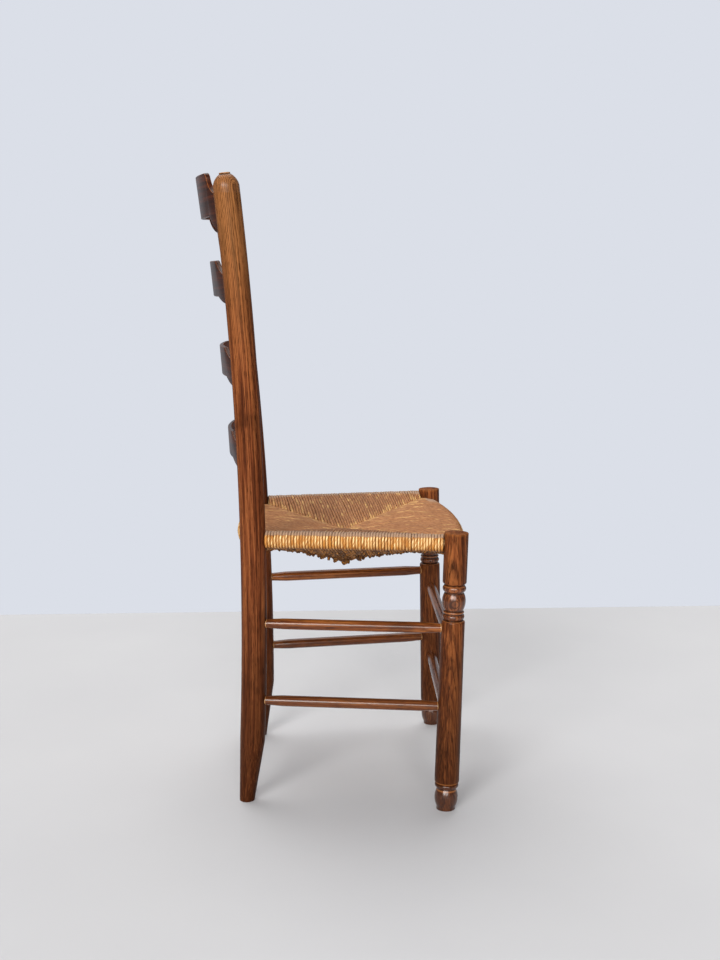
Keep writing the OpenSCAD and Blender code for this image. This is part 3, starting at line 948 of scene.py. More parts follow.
@dataclass
class RearPost(WoodenPiece):
    """A round post, bent backwards, with a domed head and a tapered foot."""

    plan: ChairPlan
    side: Side
    dome_h: float = 22 * MM
    stub_d: float = 17.5 * MM
    stub_h: float = 2.4 * MM
    stub_lip: float = 0.5 * MM
    dome_relief: float = 0.3 * MM
    foot_h: float = 105 * MM
    foot_d: float = 24.5 * MM
    foot_turn: float = math.radians(3.2)
    foot_spare: float = 6 * MM
    height: float = 1014.6 * MM
    segments: int = 56
    bend_steps: int = 60
    dome_steps: int = 14
    foot_steps: int = 12
    way = "bent"

    def __post_init__(self) -> None:
        """Work out where the dome and the stub begin."""
        self.node = f"rear_post_{self.side.word}"
        self.radius = self.plan.rear_post_d / 2
        self.dome_foot = self.height - self.dome_h - self.stub_h
        self.stub_foot = self.height - self.stub_h - 0.3 * MM

    def _head(self) -> list[tuple[Matrix, float]]:
        """Shape the dome and the stub that the lathe left.

        Returns:
            Frame and radius of each station.
        """
        stub_r, lip = self.stub_d / 2, self.stub_lip
        widest = self.radius + self.dome_relief
        arc = bow_radius(self.dome_h, widest - stub_r)
        frame_at = self.plan.on_bend(self.dome_foot)
        stations = [(frame_at, self.radius)]
        start = math.sqrt(arc**2 - (arc - self.dome_relief) ** 2)
        for share in spread(0, 1, self.dome_steps):
            rise = start + (self.dome_h - start) * math.sin(share * math.pi / 2)
            size = widest - arc + math.sqrt(arc**2 - rise**2)
            stations.append((frame_at @ shift(0, 0, rise), size))
        for inset, rise in (
            (lip, 0.1 * MM),
            (lip, 0.5 * MM),
            (0.0, 0.8 * MM),
            (0.0, self.stub_h - lip),
            (lip, self.stub_h),
            (stub_r * 0.6, self.stub_h + 0.1 * MM),
        ):
            stations.append((frame_at @ shift(0, 0, self.dome_h + rise), stub_r - inset))
        return stations

    def _foot(self) -> list[tuple[Matrix, float]]:
        """Taper the foot, from the bend down past the floor.

        Returns:
            Frame and radius of each station.
        """
        taper = (self.radius - self.foot_d / 2) / self.foot_h
        top = self.plan.on_bend(self.foot_h)
        cone = top @ turn(self.foot_turn, "X")
        drops = spread(2 * MM, self.foot_h + self.foot_spare, self.foot_steps)
        cuts = [(cone @ shift(0, 0, -drop), self.radius - taper * drop) for drop in drops]
        return [(top, self.radius), *cuts]

    def shape(self) -> BMesh:
        """Bend the shaft and draw out its head and foot.

        Returns:
            The post in its own upright plane, open below the floor.
        """
        plan, foot = self.plan, self._foot()
        bm = bmesh.new()
        verts = bmesh.ops.create_circle(
            bm, segments=self.segments, radius=self.radius, matrix=foot[0][0]
        )["verts"]
        ring = list(dict.fromkeys(edge for vert in verts for edge in vert.link_edges))
        spun = bmesh.ops.spin(
            bm,
            geom=verts + ring,
            cent=(0, plan.bend_r, plan.bend_level),
            axis=(-1, 0, 0),
            angle=plan.bend_lean(self.dome_foot) - plan.bend_lean(self.foot_h),
            steps=self.bend_steps,
        )["geom_last"]
        loft(bm, [part for part in spun if isinstance(part, BMEdge)], self._head())
        lower = [edge for edge in open_edges(bm) if edge.verts[0].co.z < plan.bend_level]
        loft(bm, lower, foot)
        return bm

    def grain(self, spot: Vector) -> Sequence[float]:
        """The grain follows the bend."""
        return spot.x, spot.y - self.plan.bend_set(spot.z), spot.z

    def age(self, vert: BMVert) -> float:
        """Leave the stub raw, and darken the wood round its foot.

        Args:
            vert: Vertex of the post in its own frame.

        Returns:
            Its age.
        """
        spot = vert.co
        off_axis = math.hypot(spot.x, spot.y - self.plan.bend_set(self.stub_foot))
        if spot.z > self.stub_foot + 0.9 * MM:
            return 2.0
        at_foot = spot.z > self.stub_foot - 1.5 * MM and off_axis < self.stub_d * 0.62
        return -1.0 if at_foot else 0.0

    def settle(self, bm: BMesh) -> None:
        """Stand the post on the floor."""
        bmesh.ops.transform(bm, matrix=self.plan.rear_place(self.side), verts=bm.verts)
        saw_at_floor(bm)


@dataclass
class FrontPost(WoodenPiece):
    """A turned post: plain above, then beads and a ball, a long shaft and a foot ball."""

    plan: ChairPlan
    side: Side
    groove_d: float = 30.4 * MM
    shaft_top_d: float = 37.6 * MM
    shaft_foot_d: float = 40 * MM
    ball_level: float = 347.5 * MM
    ball_d: float = 37.6 * MM
    ball_h: float = 29 * MM
    foot_ball_d: float = 37.9 * MM
    foot_ball_h: float = 36.5 * MM
    foot_ball_mid: float = 20 * MM
    foot_ball_r: float = 34 * MM
    top_edge_r: float = 3 * MM
    top_edge_turn: float = math.radians(66)
    crown_r: float = 90 * MM
    grain_tilt: float = math.radians(3.0)
    knot_r: float = 6.2 * MM
    knot_drop: float = 1.6 * MM
    segments: int = 96

    def __post_init__(self) -> None:
        """Work out the levels that the outline hangs on."""
        self.node = f"front_post_{self.side.word}"
        _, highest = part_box(self.node)
        self.top = highest.z
        self.core = self.groove_d / 2
        self.edge = self.plan.front_post_d / 2
        self.ball_top = self.ball_level + self.ball_h / 2
        self.ball_foot = self.ball_level - self.ball_h / 2
        self.ankle = self.foot_ball_h + 4 * MM
        self.tilt = turn(self.grain_tilt, "X").to_3x3() @ turn(self.grain_tilt, "Y").to_3x3()
        self.rims = [
            (level + low * MM, level + high * MM)
            for level, low, high in (
                (self.foot_ball_h, -3.2, -1.8),
                (self.ankle, 4.6, 5.4),
                (self.ball_foot, -17.5, -16.5),
                (self.ball_foot, -4, -2),
                (self.ball_top, 9.3, 11.2),
            )
        ]

    @staticmethod
    def _bead(low: float, high: float, middle_d: float, edge_d: float, steps: int = 8) -> Outline:
        """Round a bead between two heights.

        Args:
            low: Height of its lower edge.
            high: Height of its upper edge.
            middle_d: Its greatest diameter.
            edge_d: Its diameter at both edges.
            steps: Steps along it.

        Returns:
            Its points.
        """
        middle = (low + high) / 2
        radius = bow_radius((high - low) / 2, (middle_d - edge_d) / 2)
        return [
            (middle_d / 2 - radius + math.sqrt(radius**2 - (z - middle) ** 2), z)
            for z in spread(low, high, steps)
        ]

    def _foot_points(self) -> Outline:
        """Draw the foot ball, from below the floor up.

        Returns:
            Its points.
        """
        points = []
        for z in spread(0.0, self.foot_ball_h - 0.5 * MM, 14):
            rise = math.sqrt(self.foot_ball_r**2 - (z - self.foot_ball_mid) ** 2)
            points.append((max(self.core, self.foot_ball_d / 2 - self.foot_ball_r + rise), z))
        return [(0.0, -MM), (points[0][0], -MM), *points]

    def _crown(self, radius: float) -> float:
        """Height of the shallow crown at a distance from the axis."""
        return self.top - self.crown_r + math.sqrt(self.crown_r**2 - radius**2)

    def _top_points(self) -> Outline:
        """Draw the softened edge and the shallow crown.

        Returns:
            Their points.
        """
        points = []
        for angle in spread(0.0, self.top_edge_turn, 5):
            level = self.top - self.top_edge_r + self.top_edge_r * math.sin(angle)
            radius = self.edge - self.top_edge_r * (1 - math.cos(angle))
            points.append((radius, min(level, self._crown(radius))))
        rim = points[-1][0]
        return points + [(rim * share, self._crown(rim * share)) for share in spread(0.9, 0.0, 6)]

    def _outline(self) -> Outline:
        """Draw half the post, from the floor up.

        Returns:
            The half-outline.
        """
        core, edge, groove_d = self.core, self.edge, self.groove_d
        ankle, ball_foot, ball_top = self.ankle, self.ball_foot, self.ball_top
        shoulder, neck = self.shaft_foot_d / 2, self.shaft_top_d / 2
        shaft_foot, shaft_top = ankle + 8 * MM, ball_foot - 17 * MM
        upper_foot = ball_top + 14 * MM
        points = self._foot_points()
        points += near(core, self.foot_ball_h, (0, 0), (0, 0.4))
        points += self._bead(
            self.foot_ball_h + 0.5 * MM, ankle + 4.5 * MM, self.foot_ball_d + 0.6 * MM,
            self.foot_ball_d - 4 * MM,
        )
        points += near(shoulder, ankle, (-1.6, 4.7), (-0.8, 5.1), (0, 8))
        run = shaft_top - 3 * MM - shaft_foot
        for z in spread(ankle + 20 * MM, shaft_top - 3 * MM, 10):
            points.append((shoulder + (z - shaft_foot) / run * (neck - shoulder), z))
        points += near(neck, shaft_top, (-0.4, -1.2), (-1.4, 0))
        points += near(core, shaft_top, (0.4, 0.4), (0, 1))
        points += self._bead(
            ball_foot - 14.5 * MM, ball_foot - 6 * MM, groove_d + 5 * MM, groove_d + MM
        )
        points += self._bead(ball_foot - 5 * MM, ball_foot - MM, groove_d + 3.4 * MM, groove_d + MM)
        points += self._bead(ball_foot, ball_top, self.ball_d, groove_d, 26)
        points += self._bead(
            ball_top + MM, ball_top + 12 * MM, 2 * edge - 0.6 * MM, groove_d + 0.6 * MM
        )
        points += near(core, upper_foot, (0, -2)) + near(edge, upper_foot, (-0.5, 1.5), (0, 2.6))
        points += [(edge, z) for z in spread(upper_foot + 12 * MM, self.top - 8 * MM, 4)]
        return points + self._top_points()

    def shape(self) -> BMesh:
        """The post in its own upright frame."""
        return turn_on_lathe(self._outline(), self.segments)

    def grain(self, spot: Vector) -> Sequence[float]:
        """The grain runs out a little."""
        return self.tilt @ spot

    def age(self, vert: BMVert) -> float:
        """Darken the grooves and round the knot, rub the thin rims, paint a highlight on the crown.

        Args:
            vert: Vertex of the post in its own frame.

        Returns:
            Its mark.
        """
        spot = vert.co
        radius = math.hypot(spot.x, spot.y)
        # Painted highlight: the outer crown and its softened edge take the rubbed colour.
        if spot.z > self.top - 3 * MM:
            return 0.5 if radius > 12 * MM else 0.0
        if any(low < spot.z < high for low, high in self.rims) and radius > self.core + 0.5 * MM:
            return 1.1
        if radius < self.core + 0.7 * MM and spot.z > self.foot_ball_h - 2 * MM:
            return -1.0
        off_knot = math.hypot(spot.y, spot.z - self.ball_level + self.knot_drop)
        if spot.x * self.side.value > 0 and off_knot < 2 * self.knot_r:
            ring = max(0.0, 1 - abs(off_knot - self.knot_r) / (2.0 * MM))
            heart = max(0.0, 1 - off_knot / (2.2 * MM))
            return 0.3 * (off_knot < self.knot_r) * (1 - ring - heart) - ring - heart
        return 0.0

    def settle(self, bm: BMesh) -> None:
        """Stand the post on the floor."""
        bmesh.ops.transform(bm, matrix=self.plan.front_place(self.side), verts=bm.verts)
        saw_at_floor(bm)


@dataclass
class Stretcher(WoodenPiece):
    """A turned rung with tapered ends."""

    node: str
    start: Vector
    end: Vector
    start_post_r: float
    end_post_r: float
    middle_d: float = 17.6 * MM
    end_d: float = 14.6 * MM
    taper: float = 28 * MM
    ease: float = 3 * MM
    buried: float = 6 * MM
    glue_w: float = 0.9 * MM
    segments: int = 36
    slot = "stretcher_wood"

    def shape(self) -> BMesh:
        """Turn the rung.

        Returns:
            The rung upright, with its start post's axis at the origin.
        """
        self.length = (self.end - self.start).length
        low, high = self.start_post_r, self.length - self.end_post_r
        thin, thick, ease, knee = self.end_d / 2, self.middle_d / 2, self.ease, low + self.taper
        lean = (thick - thin) / self.taper * ease
        tip = [(0.0, low - self.buried), (thin, low - self.buried)]
        tip += [(thin, z) for z in spread(low - 2 * MM, low + 3 * MM, 10)]
        tip += [(thick - lean, knee - ease), (thick - lean * 0.25, knee), (thick, knee + ease)]
        middle = [(thick, z) for z in spread(low + 50 * MM, high - 50 * MM, 4)]
        far_tip = [(radius, low + high - z) for radius, z in reversed(tip)]
        return turn_on_lathe(tip + middle + far_tip, self.segments)

    def age(self, vert: BMVert) -> float:
        """Leave pale dried glue where the rung enters a post.

        Args:
            vert: Vertex of the rung in its own frame.

        Returns:
            Its age.
        """
        x, _, z = vert.co
        gap = math.hypot(z, x) - self.start_post_r
        far_gap = math.hypot(self.length - z, x) - self.end_post_r
        return 1.5 if min(gap, far_gap) < self.glue_w else 0.0

    def settle(self, bm: BMesh) -> None:
        """Lay the rung between its posts."""
        place = facing(self.start, self.end - self.start)
        bmesh.ops.transform(bm, matrix=place, verts=bm.verts)


@dataclass
class BackSlat(WoodenPiece):
    """A thin board, shaped along both edges and bent backwards between the rear posts."""

    plan: ChairPlan
    number: int
    level: float
    bow: float
    crest: float
    top: float
    top_shoulder: float
    underside: float
    bottom_shoulder: float
    # How strongly the arrises show wear and a painted highlight.
    rubbing_and_sheen: float
    thickness: float = 7 * MM
    inset: float = 2 * MM
    shoulder: float = 139 * MM
    ear_r: float = 10 * MM
    buried: float = 9 * MM
    arris: float = 1.7 * MM
    arris_steps: int = 3
    arc_steps: int = 9
    slice_w: float = 8 * MM
    weld: float = 0.05 * MM
    way = "bent"
    slot = "slat_wood"

    def __post_init__(self) -> None:
        """Measure the gap that the slat bridges."""
        self.node = f"back_slat_{self.number}"
        self.half, self.place = self.plan.slat_span(self.level)
        self.radius = bow_radius(self.half, self.bow)

    def _arc(self, x: float, z: float, radius: float, start: float, end: float) -> Outline:
        """Points along an arc about (x, z)."""
        angles = spread(start, end, self.arc_steps)
        return [(x + radius * math.cos(angle), z + radius * math.sin(angle)) for angle in angles]

    def _half_outline(self) -> Outline:
        """Draw a lobe below, the square end, then a cove and an ear above.

        Returns:
            The right-hand half of the outline.
        """
        run = self.shoulder - self.crest
        quarter = math.pi / 2
        lobe_r = bow_radius(run, self.bottom_shoulder - self.underside)
        curves_r = bow_radius(run, self.top - self.top_shoulder)
        cove_r = curves_r - self.ear_r
        sweep = math.asin(run / curves_r)
        end = self.half - self.inset - self.buried
        lobe = self._arc(
            self.shoulder, lobe_r - self.bottom_shoulder, lobe_r,
            -quarter - math.asin(run / lobe_r), -quarter,
        )
        square = [(end, -self.bottom_shoulder), (end, self.top_shoulder)]
        cove = self._arc(
            self.shoulder, self.top_shoulder + cove_r, cove_r, -quarter, -quarter - sweep
        )
        ear = self._arc(self.crest, self.top - self.ear_r, self.ear_r, quarter - sweep, quarter)
        return lobe + square + cove + ear

    def shape(self) -> BMesh:
        """Saw the board, slice it across for the bend and soften its arrises.

        Returns:
            The board, still flat.
        """
        right = self._half_outline()
        bm = bmesh.new()
        outline = right + [(-x, z) for x, z in reversed(right)]
        bm.faces.new([bm.verts.new((x, 0, z)) for x, z in outline])
        bmesh.ops.remove_doubles(bm, verts=bm.verts, dist=self.weld)
        bmesh.ops.recalc_face_normals(bm, faces=bm.faces)
        cuts = int(self.half / self.slice_w)
        for k in range(-cuts, cuts + 1):
            bmesh.ops.bisect_plane(
                bm, geom=whole(bm), dist=self.slice_w / 6, plane_co=(k * self.slice_w, 0, 0),
                plane_no=(1, 0, 0),
            )
        bmesh.ops.solidify(bm, geom=bm.faces[:], thickness=self.thickness)
        low = min(vert.co.y for vert in bm.verts)
        bmesh.ops.translate(bm, vec=(0, -low - self.thickness / 2, 0), verts=bm.verts)
        bmesh.ops.recalc_face_normals(bm, faces=bm.faces)
        rim = []
        for edge in bm.edges:
            slopes = [face.normal.y for face in edge.link_faces]
            if len(slopes) == 2 and 0.9 < min(
                abs(slopes[0]) + abs(slopes[1]), abs(slopes[0] - slopes[1])
            ):
                rim.append(edge)
        rounded = set(
            bmesh.ops.bevel(
                bm, geom=rim, offset=self.arris, offset_type="OFFSET",
                segments=self.arris_steps, profile=0.5, affect="EDGES", clamp_overlap=True,
                material=-1,
            )["faces"]
        )
        bm.verts.index_update()
        # Vertices of the softened arrises, which show wear and a painted highlight.
        self.rubbed_and_sheen = {vert.index for vert in bm.verts if rounded.issuperset(vert.link_faces)}
        return bm

    def grain(self, spot: Vector) -> Sequence[float]:
        """The grain runs along the board, round its bend."""
        return spot.z, spot.y, self.radius * math.asin(spot.x / self.radius)

    def age(self, vert: BMVert) -> float:
        """Rubbed along the arrises, which also carry a painted highlight."""
        return self.rubbing_and_sheen if vert.index in self.rubbed_and_sheen else 0.0

    def settle(self, bm: BMesh) -> None:
        """Bend the board and set it between the posts.

        Args:
            bm: The flat board.
        """
        for vert in bm.verts:
            reach = math.sqrt((self.radius + vert.co.y) ** 2 - vert.co.x**2)
            vert.co.y = self.bow - self.radius + reach
        bmesh.ops.transform(bm, matrix=self.place, verts=bm.verts)


# ---------------------------------------------------------------- rush seat


@dataclass(frozen=True)
class Rail:
    """A round rail as the rush sees it: its axis and the panel that hangs from it."""

    name: str
    middle: Vector
    start: Vector
    end: Vector
    start_clear: float
    end_clear: float
    bow: float

    @property
    def length(self) -> float:
        """Length of the rail's chord."""
        return (self.end - self.start).length

    @property
    def run(self) -> Vector:
        """Unit vector from start to end."""
        return (self.end - self.start).normalized()

    @property
    def inward(self) -> Vector:
        """Level unit vector across the rail, towards the seat's middle."""
        across = Vector((*self.run.cross(UP).xy, 0)).normalized()
        return across if across.dot(self.middle - self.start) > 0 else -across

    def axis_point(self, distance: float) -> Vector:
        """Find a point on the rail's axis.

        Args:
            distance: Distance along the rail's chord.

        Returns:
            The point.
        """
        point = self.start + self.run * distance
        if self.bow:
            half = (self.length - self.start_clear - self.end_clear) / 2
            radius = bow_radius(half, self.bow)
            off = min(abs(distance - self.start_clear - half), half)
            point -= self.inward * (self.bow - radius + math.sqrt(radius**2 - off**2))
        return point

    def lay_out(self, distance: float) -> tuple[Vector, float, float]:
        """Find where a strand meets the panel's seams.

        Args:
            distance: Place of the strand along the rail's chord.

        Returns:
            Foot of the strand on the axis, its length to the seam, and how far along the seam it
            ends, from corner (0) to middle (1).
        """
        point, inward = self.axis_point(distance), self.inward
        best = (math.inf, 0.0)
        for corner in (self.start, self.end):
            seam = (self.middle - corner).to_2d()
            offset = (corner - point).to_2d()
            cross = inward.x * seam.y - inward.y * seam.x
            if abs(cross) < 1e-9:
                continue
            reach = (offset.x * seam.y - offset.y * seam.x) / cross
            share = (offset.x * inward.y - offset.y * inward.x) / cross
            if 0 < reach < best[0] and -0.2 <= share <= 1.02:
                best = (reach, share)
        return point, *best


@dataclass
class RushSeat:
    """The seat: one rush cord wound strand by strand round four rails, in four panels."""

    plan: ChairPlan
    rush: Material
    stuffing: Material
    rail_d: float = 19 * MM
    cord_d: float = 4.6 * MM
    side_level: float = 441.4 * MM
    drop: float = 12.8 * MM
    front_bow: float = 18 * MM
    rear_bow: float = 16 * MM
    dish: float = 31 * MM
    middle_t: float = 56 * MM
    sag_power: float = 1.7
    middle_back: float = 152 * MM
    rush_gap: float = 0.3 * MM
    crown: float = 3.5 * MM
    belly: float = 3.0 * MM
    full_reach: float = 120 * MM
    least_reach: float = 6 * MM
    pitch: float = 1.01
    swell: float = 1.09
    knot_reach: float = 7 * MM
    knot_swell: float = 0.45
    sides: int = 8
    flat_step: float = 8.5 * MM
    roll_steps: int = 8
    tufts: int = 560
    tuft_sides: int = 6
    tuft_chart: float = -60 * MM
    seam_w: float = 26 * MM
    stations: int = 22
    rows: int = 7
    margin: float = 26 * MM
    skin: float = 3.1 * MM
    seed: int = 7

    def __post_init__(self) -> None:
        """Work out the rails and the heights of the seams."""
        self.wrap_r = (self.rail_d + self.cord_d) / 2
        self.middle = Vector((0, self.plan.rear_y - self.middle_back, 0))
        self.top_mid = self.side_level + self.wrap_r - self.dish
        self.bottom_mid = self.top_mid - self.middle_t + self.cord_d
        self.dice = random.Random(self.seed)
        self.rails = [
            self._rail(f"side_{side.word}", self.side_level, 0.0, ("rear", side), ("front", side))
            for side in Side
        ]
        for row, bow in (("front", self.front_bow), ("rear", self.rear_bow)):
            corners = ((row, side) for side in (Side.RIGHT, Side.LEFT))
            self.rails.append(self._rail(row, self.side_level - self.drop, bow, *corners))

    def _rail(self, name: str, level: float, bow: float, *corners: tuple[str, Side]) -> Rail:
        """Run a rail between two posts.

        Args:
            name: Name of its panel.
            level: Height of its axis.
            bow: How far it bows outwards.
            corners: Row and side of each post.

        Returns:
            The rail.
        """
        rows = {
            "rear": (self.plan.rear_axis, self.plan.rear_post_d),
            "front": (self.plan.front_axis, self.plan.front_post_d),
        }
        ends = [rows[row][0](side, level) for row, side in corners]
        clear = [rows[row][1] / 2 + self.rush_gap + self.cord_d / 2 for row, _ in corners]
        return Rail(name, self.middle, *ends, *clear, bow)

    def _top_end(self, share: float) -> float:
        """Height of the panels' tops along the seam, from corner (0) to middle (1)."""
        corner = self.side_level - self.drop / 2 + self.wrap_r - 2 * MM
        return corner + (self.top_mid - corner) * share

    def _underside(self, level: float, reach: float, share: float, part: float) -> float:
        """Find the height of a strand beneath the panel.

        Args:
            level: Height of the rail's axis.
            reach: Distance from the rail's axis to the seam.
            share: Place along the seam, from corner (0) to middle (1).
            part: Place along the strand, from the rail (0) to the seam (1).

        Returns:
            Height of the strand's axis.
        """
        corner = self.side_level - self.drop / 2 - self.wrap_r + 1 * MM
        end = corner + (self.bottom_mid - corner) * max(0.0, share) ** self.sag_power
        foot = level - self.wrap_r
        sag = 4 * part * (1 - part) * self.belly * min(1.0, reach / self.full_reach)
        return foot + (end - foot) * part - sag

    def _profile(self, level: float, reach: float, share: float) -> Outline:
        """Draw one strand in its own upright plane, from the pocket over the roll and back.

        Args:
            level: Height of the rail's axis.
            reach: Distance from the rail's axis to the seam.
            share: Place along the seam, from corner (0) to middle (1).

        Returns:
            Distance inward and height of each point.
        """
        wrap, end_top = self.wrap_r, self._top_end(share)
        end_bottom = self._underside(level, reach, share, 1.0)
        fullness = min(1.0, reach / self.full_reach)
        steps = max(2, round(reach / self.flat_step))
        points = near(reach, end_top, (1.2, -7), (0.8, -3))
        for part in spread(1.0, 0.0, steps)[:-1]:
            arch = 4 * part * (1 - part) * self.crown * fullness
            points.append((reach * part, level + wrap + (end_top - level - wrap) * part + arch))
        for angle in spread(math.pi / 2, 3 * math.pi / 2, self.roll_steps):
            points.append((wrap * math.cos(angle), level + wrap * math.sin(angle)))
        for part in spread(0.0, 1.0, steps)[1:]:
            points.append((reach * part, self._underside(level, reach, share, part)))
        return points + near(reach, end_bottom, (0.8, 3), (1.2, 7))

    def _tube(
        self,
        bm: BMesh,
        path: Sequence[Vector],
        girth: Sequence[float],
        across: Vector,
        start: float,
        sides: int,
        seams: Sequence[float] = (),
    ) -> None:
        """Wrap a tube with a tone of its own round a path that lies in an upright plane.

        Args:
            bm: Mesh to add it to.
            path: Points of the centreline.
            girth: Radius at each point.
            across: Unit vector across the plane.
            start: Distance along the strand at the first point.
            sides: Faces round the tube.
            seams: Nearness of each point to a seam, 0 to 1.
        """
        rings, tone = len(path) - 1, self.dice.random()
        verts = bmesh.ops.create_grid(bm, x_segments=rings, y_segments=sides, size=1.0)["verts"]
        tone_layer, seam_layer = (bm.verts.layers.float.get(name) for name in (TONE, SEAM))
        uv_layer = bm.loops.layers.uv.get(STRAND_UV)
        distance = [start]
        for a, b in zip(path, path[1:]):
            distance.append(distance[-1] + (b - a).length)
        chart = {}
        for vert in verts:
            k = round((vert.co.x + 1) / 2 * rings)
            around = (vert.co.y + 1) / 2
            tangent = (path[min(k + 1, rings)] - path[max(k - 1, 0)]).normalized()
            angle = around * math.tau
            ring = across * math.cos(angle) + across.cross(tangent) * math.sin(angle)
            vert.co = path[k] + ring * girth[k]
            vert[tone_layer] = tone
            vert[seam_layer] = seams[k] if seams else 0.0
            chart[vert] = (distance[k], around)
        for face in {face for vert in verts for face in vert.link_faces}:
            for loop in face.loops:
                loop[uv_layer].uv = chart[loop.vert]

    def _new_mesh(self) -> BMesh:
        """Start a mesh with the layers that the rush carries.

        Returns:
            The empty mesh.
        """
        bm = bmesh.new()
        for name in (TONE, SEAM):
            bm.verts.layers.float.new(name)
        bm.loops.layers.uv.new(STRAND_UV)
        return bm

    def _close(self, bm: BMesh, name: str, material: Material, **crease: float) -> Object:
        """Weld the seams of a mesh, fill its ends and make a piece of it.

        Args:
            bm: The mesh.
            name: Name of the piece.
            material: Its finish.
            crease: Angle above which an edge stays sharp, where it isn't the usual one.

        Returns:
            The piece.
        """
        bmesh.ops.remove_doubles(bm, verts=bm.verts, dist=WELD)
        close_ends(bm)
        return make_piece(bm, name, material, "rush", "rush_seat", **crease)

    def _strand(self, bm: BMesh, rail: Rail, distance: float) -> None:
        """Lay one strand over a rail.

        Args:
            bm: Mesh of the panel.
            rail: The rail.
            distance: Place of the strand along the rail's chord.
        """
        dice, inward = self.dice, rail.inward
        point, reach, share = rail.lay_out(distance)
        reach = max(self.least_reach, reach + dice.uniform(-1.6, 1.0) * MM)
        profile = self._profile(point.z, reach, share)
        across = Vector((inward.y, -inward.x, 0))
        lift = dice.uniform(-0.3, 0.35) * MM
        outermost = len(profile) // 2
        path, girth, seams = [], [], []
        knot = dice.uniform(0.1, 1.6) * reach
        plump = dice.uniform(-0.05, 0.06)
        for k, (inset, height) in enumerate(profile):
            below = k > outermost + self.roll_steps // 2 - 1
            rough, loose = (2.6, 2.2) if below else (1.0, 1.0)
            ripple = noise.noise(Vector((distance * 150, inset * 45, k * 0.37)))
            sway = noise.noise(Vector((distance * 40, inset * 30 + 9, 4.0 if below else 0.0)))
            spot = point + inward * inset
            spot.z = height
            spot += across * sway * loose * MM
            spot.z += (lift + ripple * 0.35 * MM * rough * rough) if inset > 0 else 0.0
            path.append(spot)
            swell = self.swell + plump + 0.07 * ripple * rough + 0.03 * dice.uniform(-1, 1)
            if below and abs(inset - knot) < self.knot_reach:
                swell += self.knot_swell
            girth.append(self.cord_d / 2 * swell)
            seams.append(max(0.0, min(1.0, 1 - (reach - inset) / self.seam_w)))
        start = -sum((b - a).length for a, b in zip(path[outermost:], path[outermost + 1 :]))
        for row in (path, girth, seams):
            row.reverse()
        self._tube(bm, path, girth, across, start, self.sides, seams)

    def _panel(self, rail: Rail) -> None:
        """Wind one panel.

        Args:
            rail: The rail that it hangs from.
        """
        bm = self._new_mesh()
        low, high = rail.start_clear, rail.length - rail.end_clear
        count = round((high - low) / (self.cord_d * self.pitch))
        for distance in spread(low, high, count):
            self._strand(bm, rail, distance + self.dice.uniform(-0.18, 0.18) * MM)
        self._close(bm, f"rush_panel_{rail.name}", self.rush, crease=math.pi)

    def _tuft(self, bm: BMesh, root: Vector, length: float) -> None:
        """Hang one knotted end beneath the seat.

        Args:
            bm: Mesh of the tufts.
            root: Where it leaves the underside.
            length: How far it reaches.
        """
        dice = self.dice
        bearing = dice.uniform(0, math.tau)
        across = Vector((math.cos(bearing), math.sin(bearing), 0))
        lean, curl = dice.uniform(-1.0, 1.0), dice.uniform(-2.0, 2.0)
        path, girth = [root + UP * 2.5 * MM], [1.4 * MM]
        for share, thickness in ((0.35, 2.4), (0.6, 2.7), (0.85, 2.8), (1.0, 2.0)):
            angle = lean + curl * share
            heading = across.cross(UP) * math.sin(angle) - UP * math.cos(angle)
            path.append(path[-1] + heading * length * 0.32)
            girth.append(thickness * dice.uniform(0.75, 1.2) * MM)
        self._tube(bm, path, girth, across, self.tuft_chart, self.tuft_sides)

    def _fringe(self) -> None:
        """Hang the knotted ends of the rush beneath the seat."""
        bm = self._new_mesh()
        dice = self.dice
        hung = 0
        while hung < self.tufts:
            rail = dice.choice(self.rails)
            distance = dice.uniform(rail.start_clear, rail.length - rail.end_clear)
            point, reach, share = rail.lay_out(distance)
            part = dice.uniform(0.2, 1.0)
            fullness = share * part
            if dice.random() > 0.12 + fullness:
                continue
            root = point + rail.inward * reach * part
            root.z = self._underside(point.z, reach, share, part)
            self._tuft(bm, root, (4 + 8 * fullness * dice.uniform(0.4, 1.0)) * MM)
            hung += 1
        self._close(bm, "rush_knots", self.rush, crease=math.pi)

    def _pad(self, rail: Rail) -> None:
        """Fill the pocket of one panel with broken rush.

        Args:
            rail: The rail that the panel hangs from.
        """
        rows, core = self.rows, self.rail_d / 2
        low = rail.start_clear + self.margin
        high = rail.length - rail.end_clear - self.margin
        around = 2 * rows + 2
        bm = self._new_mesh()
        grid = bmesh.ops.create_grid(bm, x_segments=self.stations, y_segments=around, size=1.0)
        for vert in grid["verts"]:
            run = (vert.co.x + 1) / 2
            step = round((vert.co.y + 1) / 2 * around) % around
            point, reach, share = rail.lay_out(low + (high - low) * run)
            inner, outer = core + 2 * MM, max(core + 6 * MM, reach - 6 * MM)
            on_top = step <= rows
            part = (step if on_top else around - 1 - step) / rows
            inset = inner + (outer - inner) * part
            crest = point.z + self.wrap_r
            top = crest + (self._top_end(share) - crest) * inset / reach - self.skin
            bottom = self._underside(point.z, reach, share, inset / reach) + self.skin
            pinch = 0.5 * (1 - math.sqrt(math.sin(math.pi * (0.04 + 0.92 * part))))
            height = top if on_top else bottom
            vert.co = point + rail.inward * inset
            vert.co.z = height + ((top + bottom) / 2 - height) * pinch
        piece = self._close(bm, f"stuffing_{rail.name}", self.stuffing)

    def build(self) -> None:
        """Wind the whole seat."""
        for make in (self._panel, self._pad):
            for rail in self.rails:
                make(rail)
        self._fringe()


# ---------------------------------------------------------------- studio


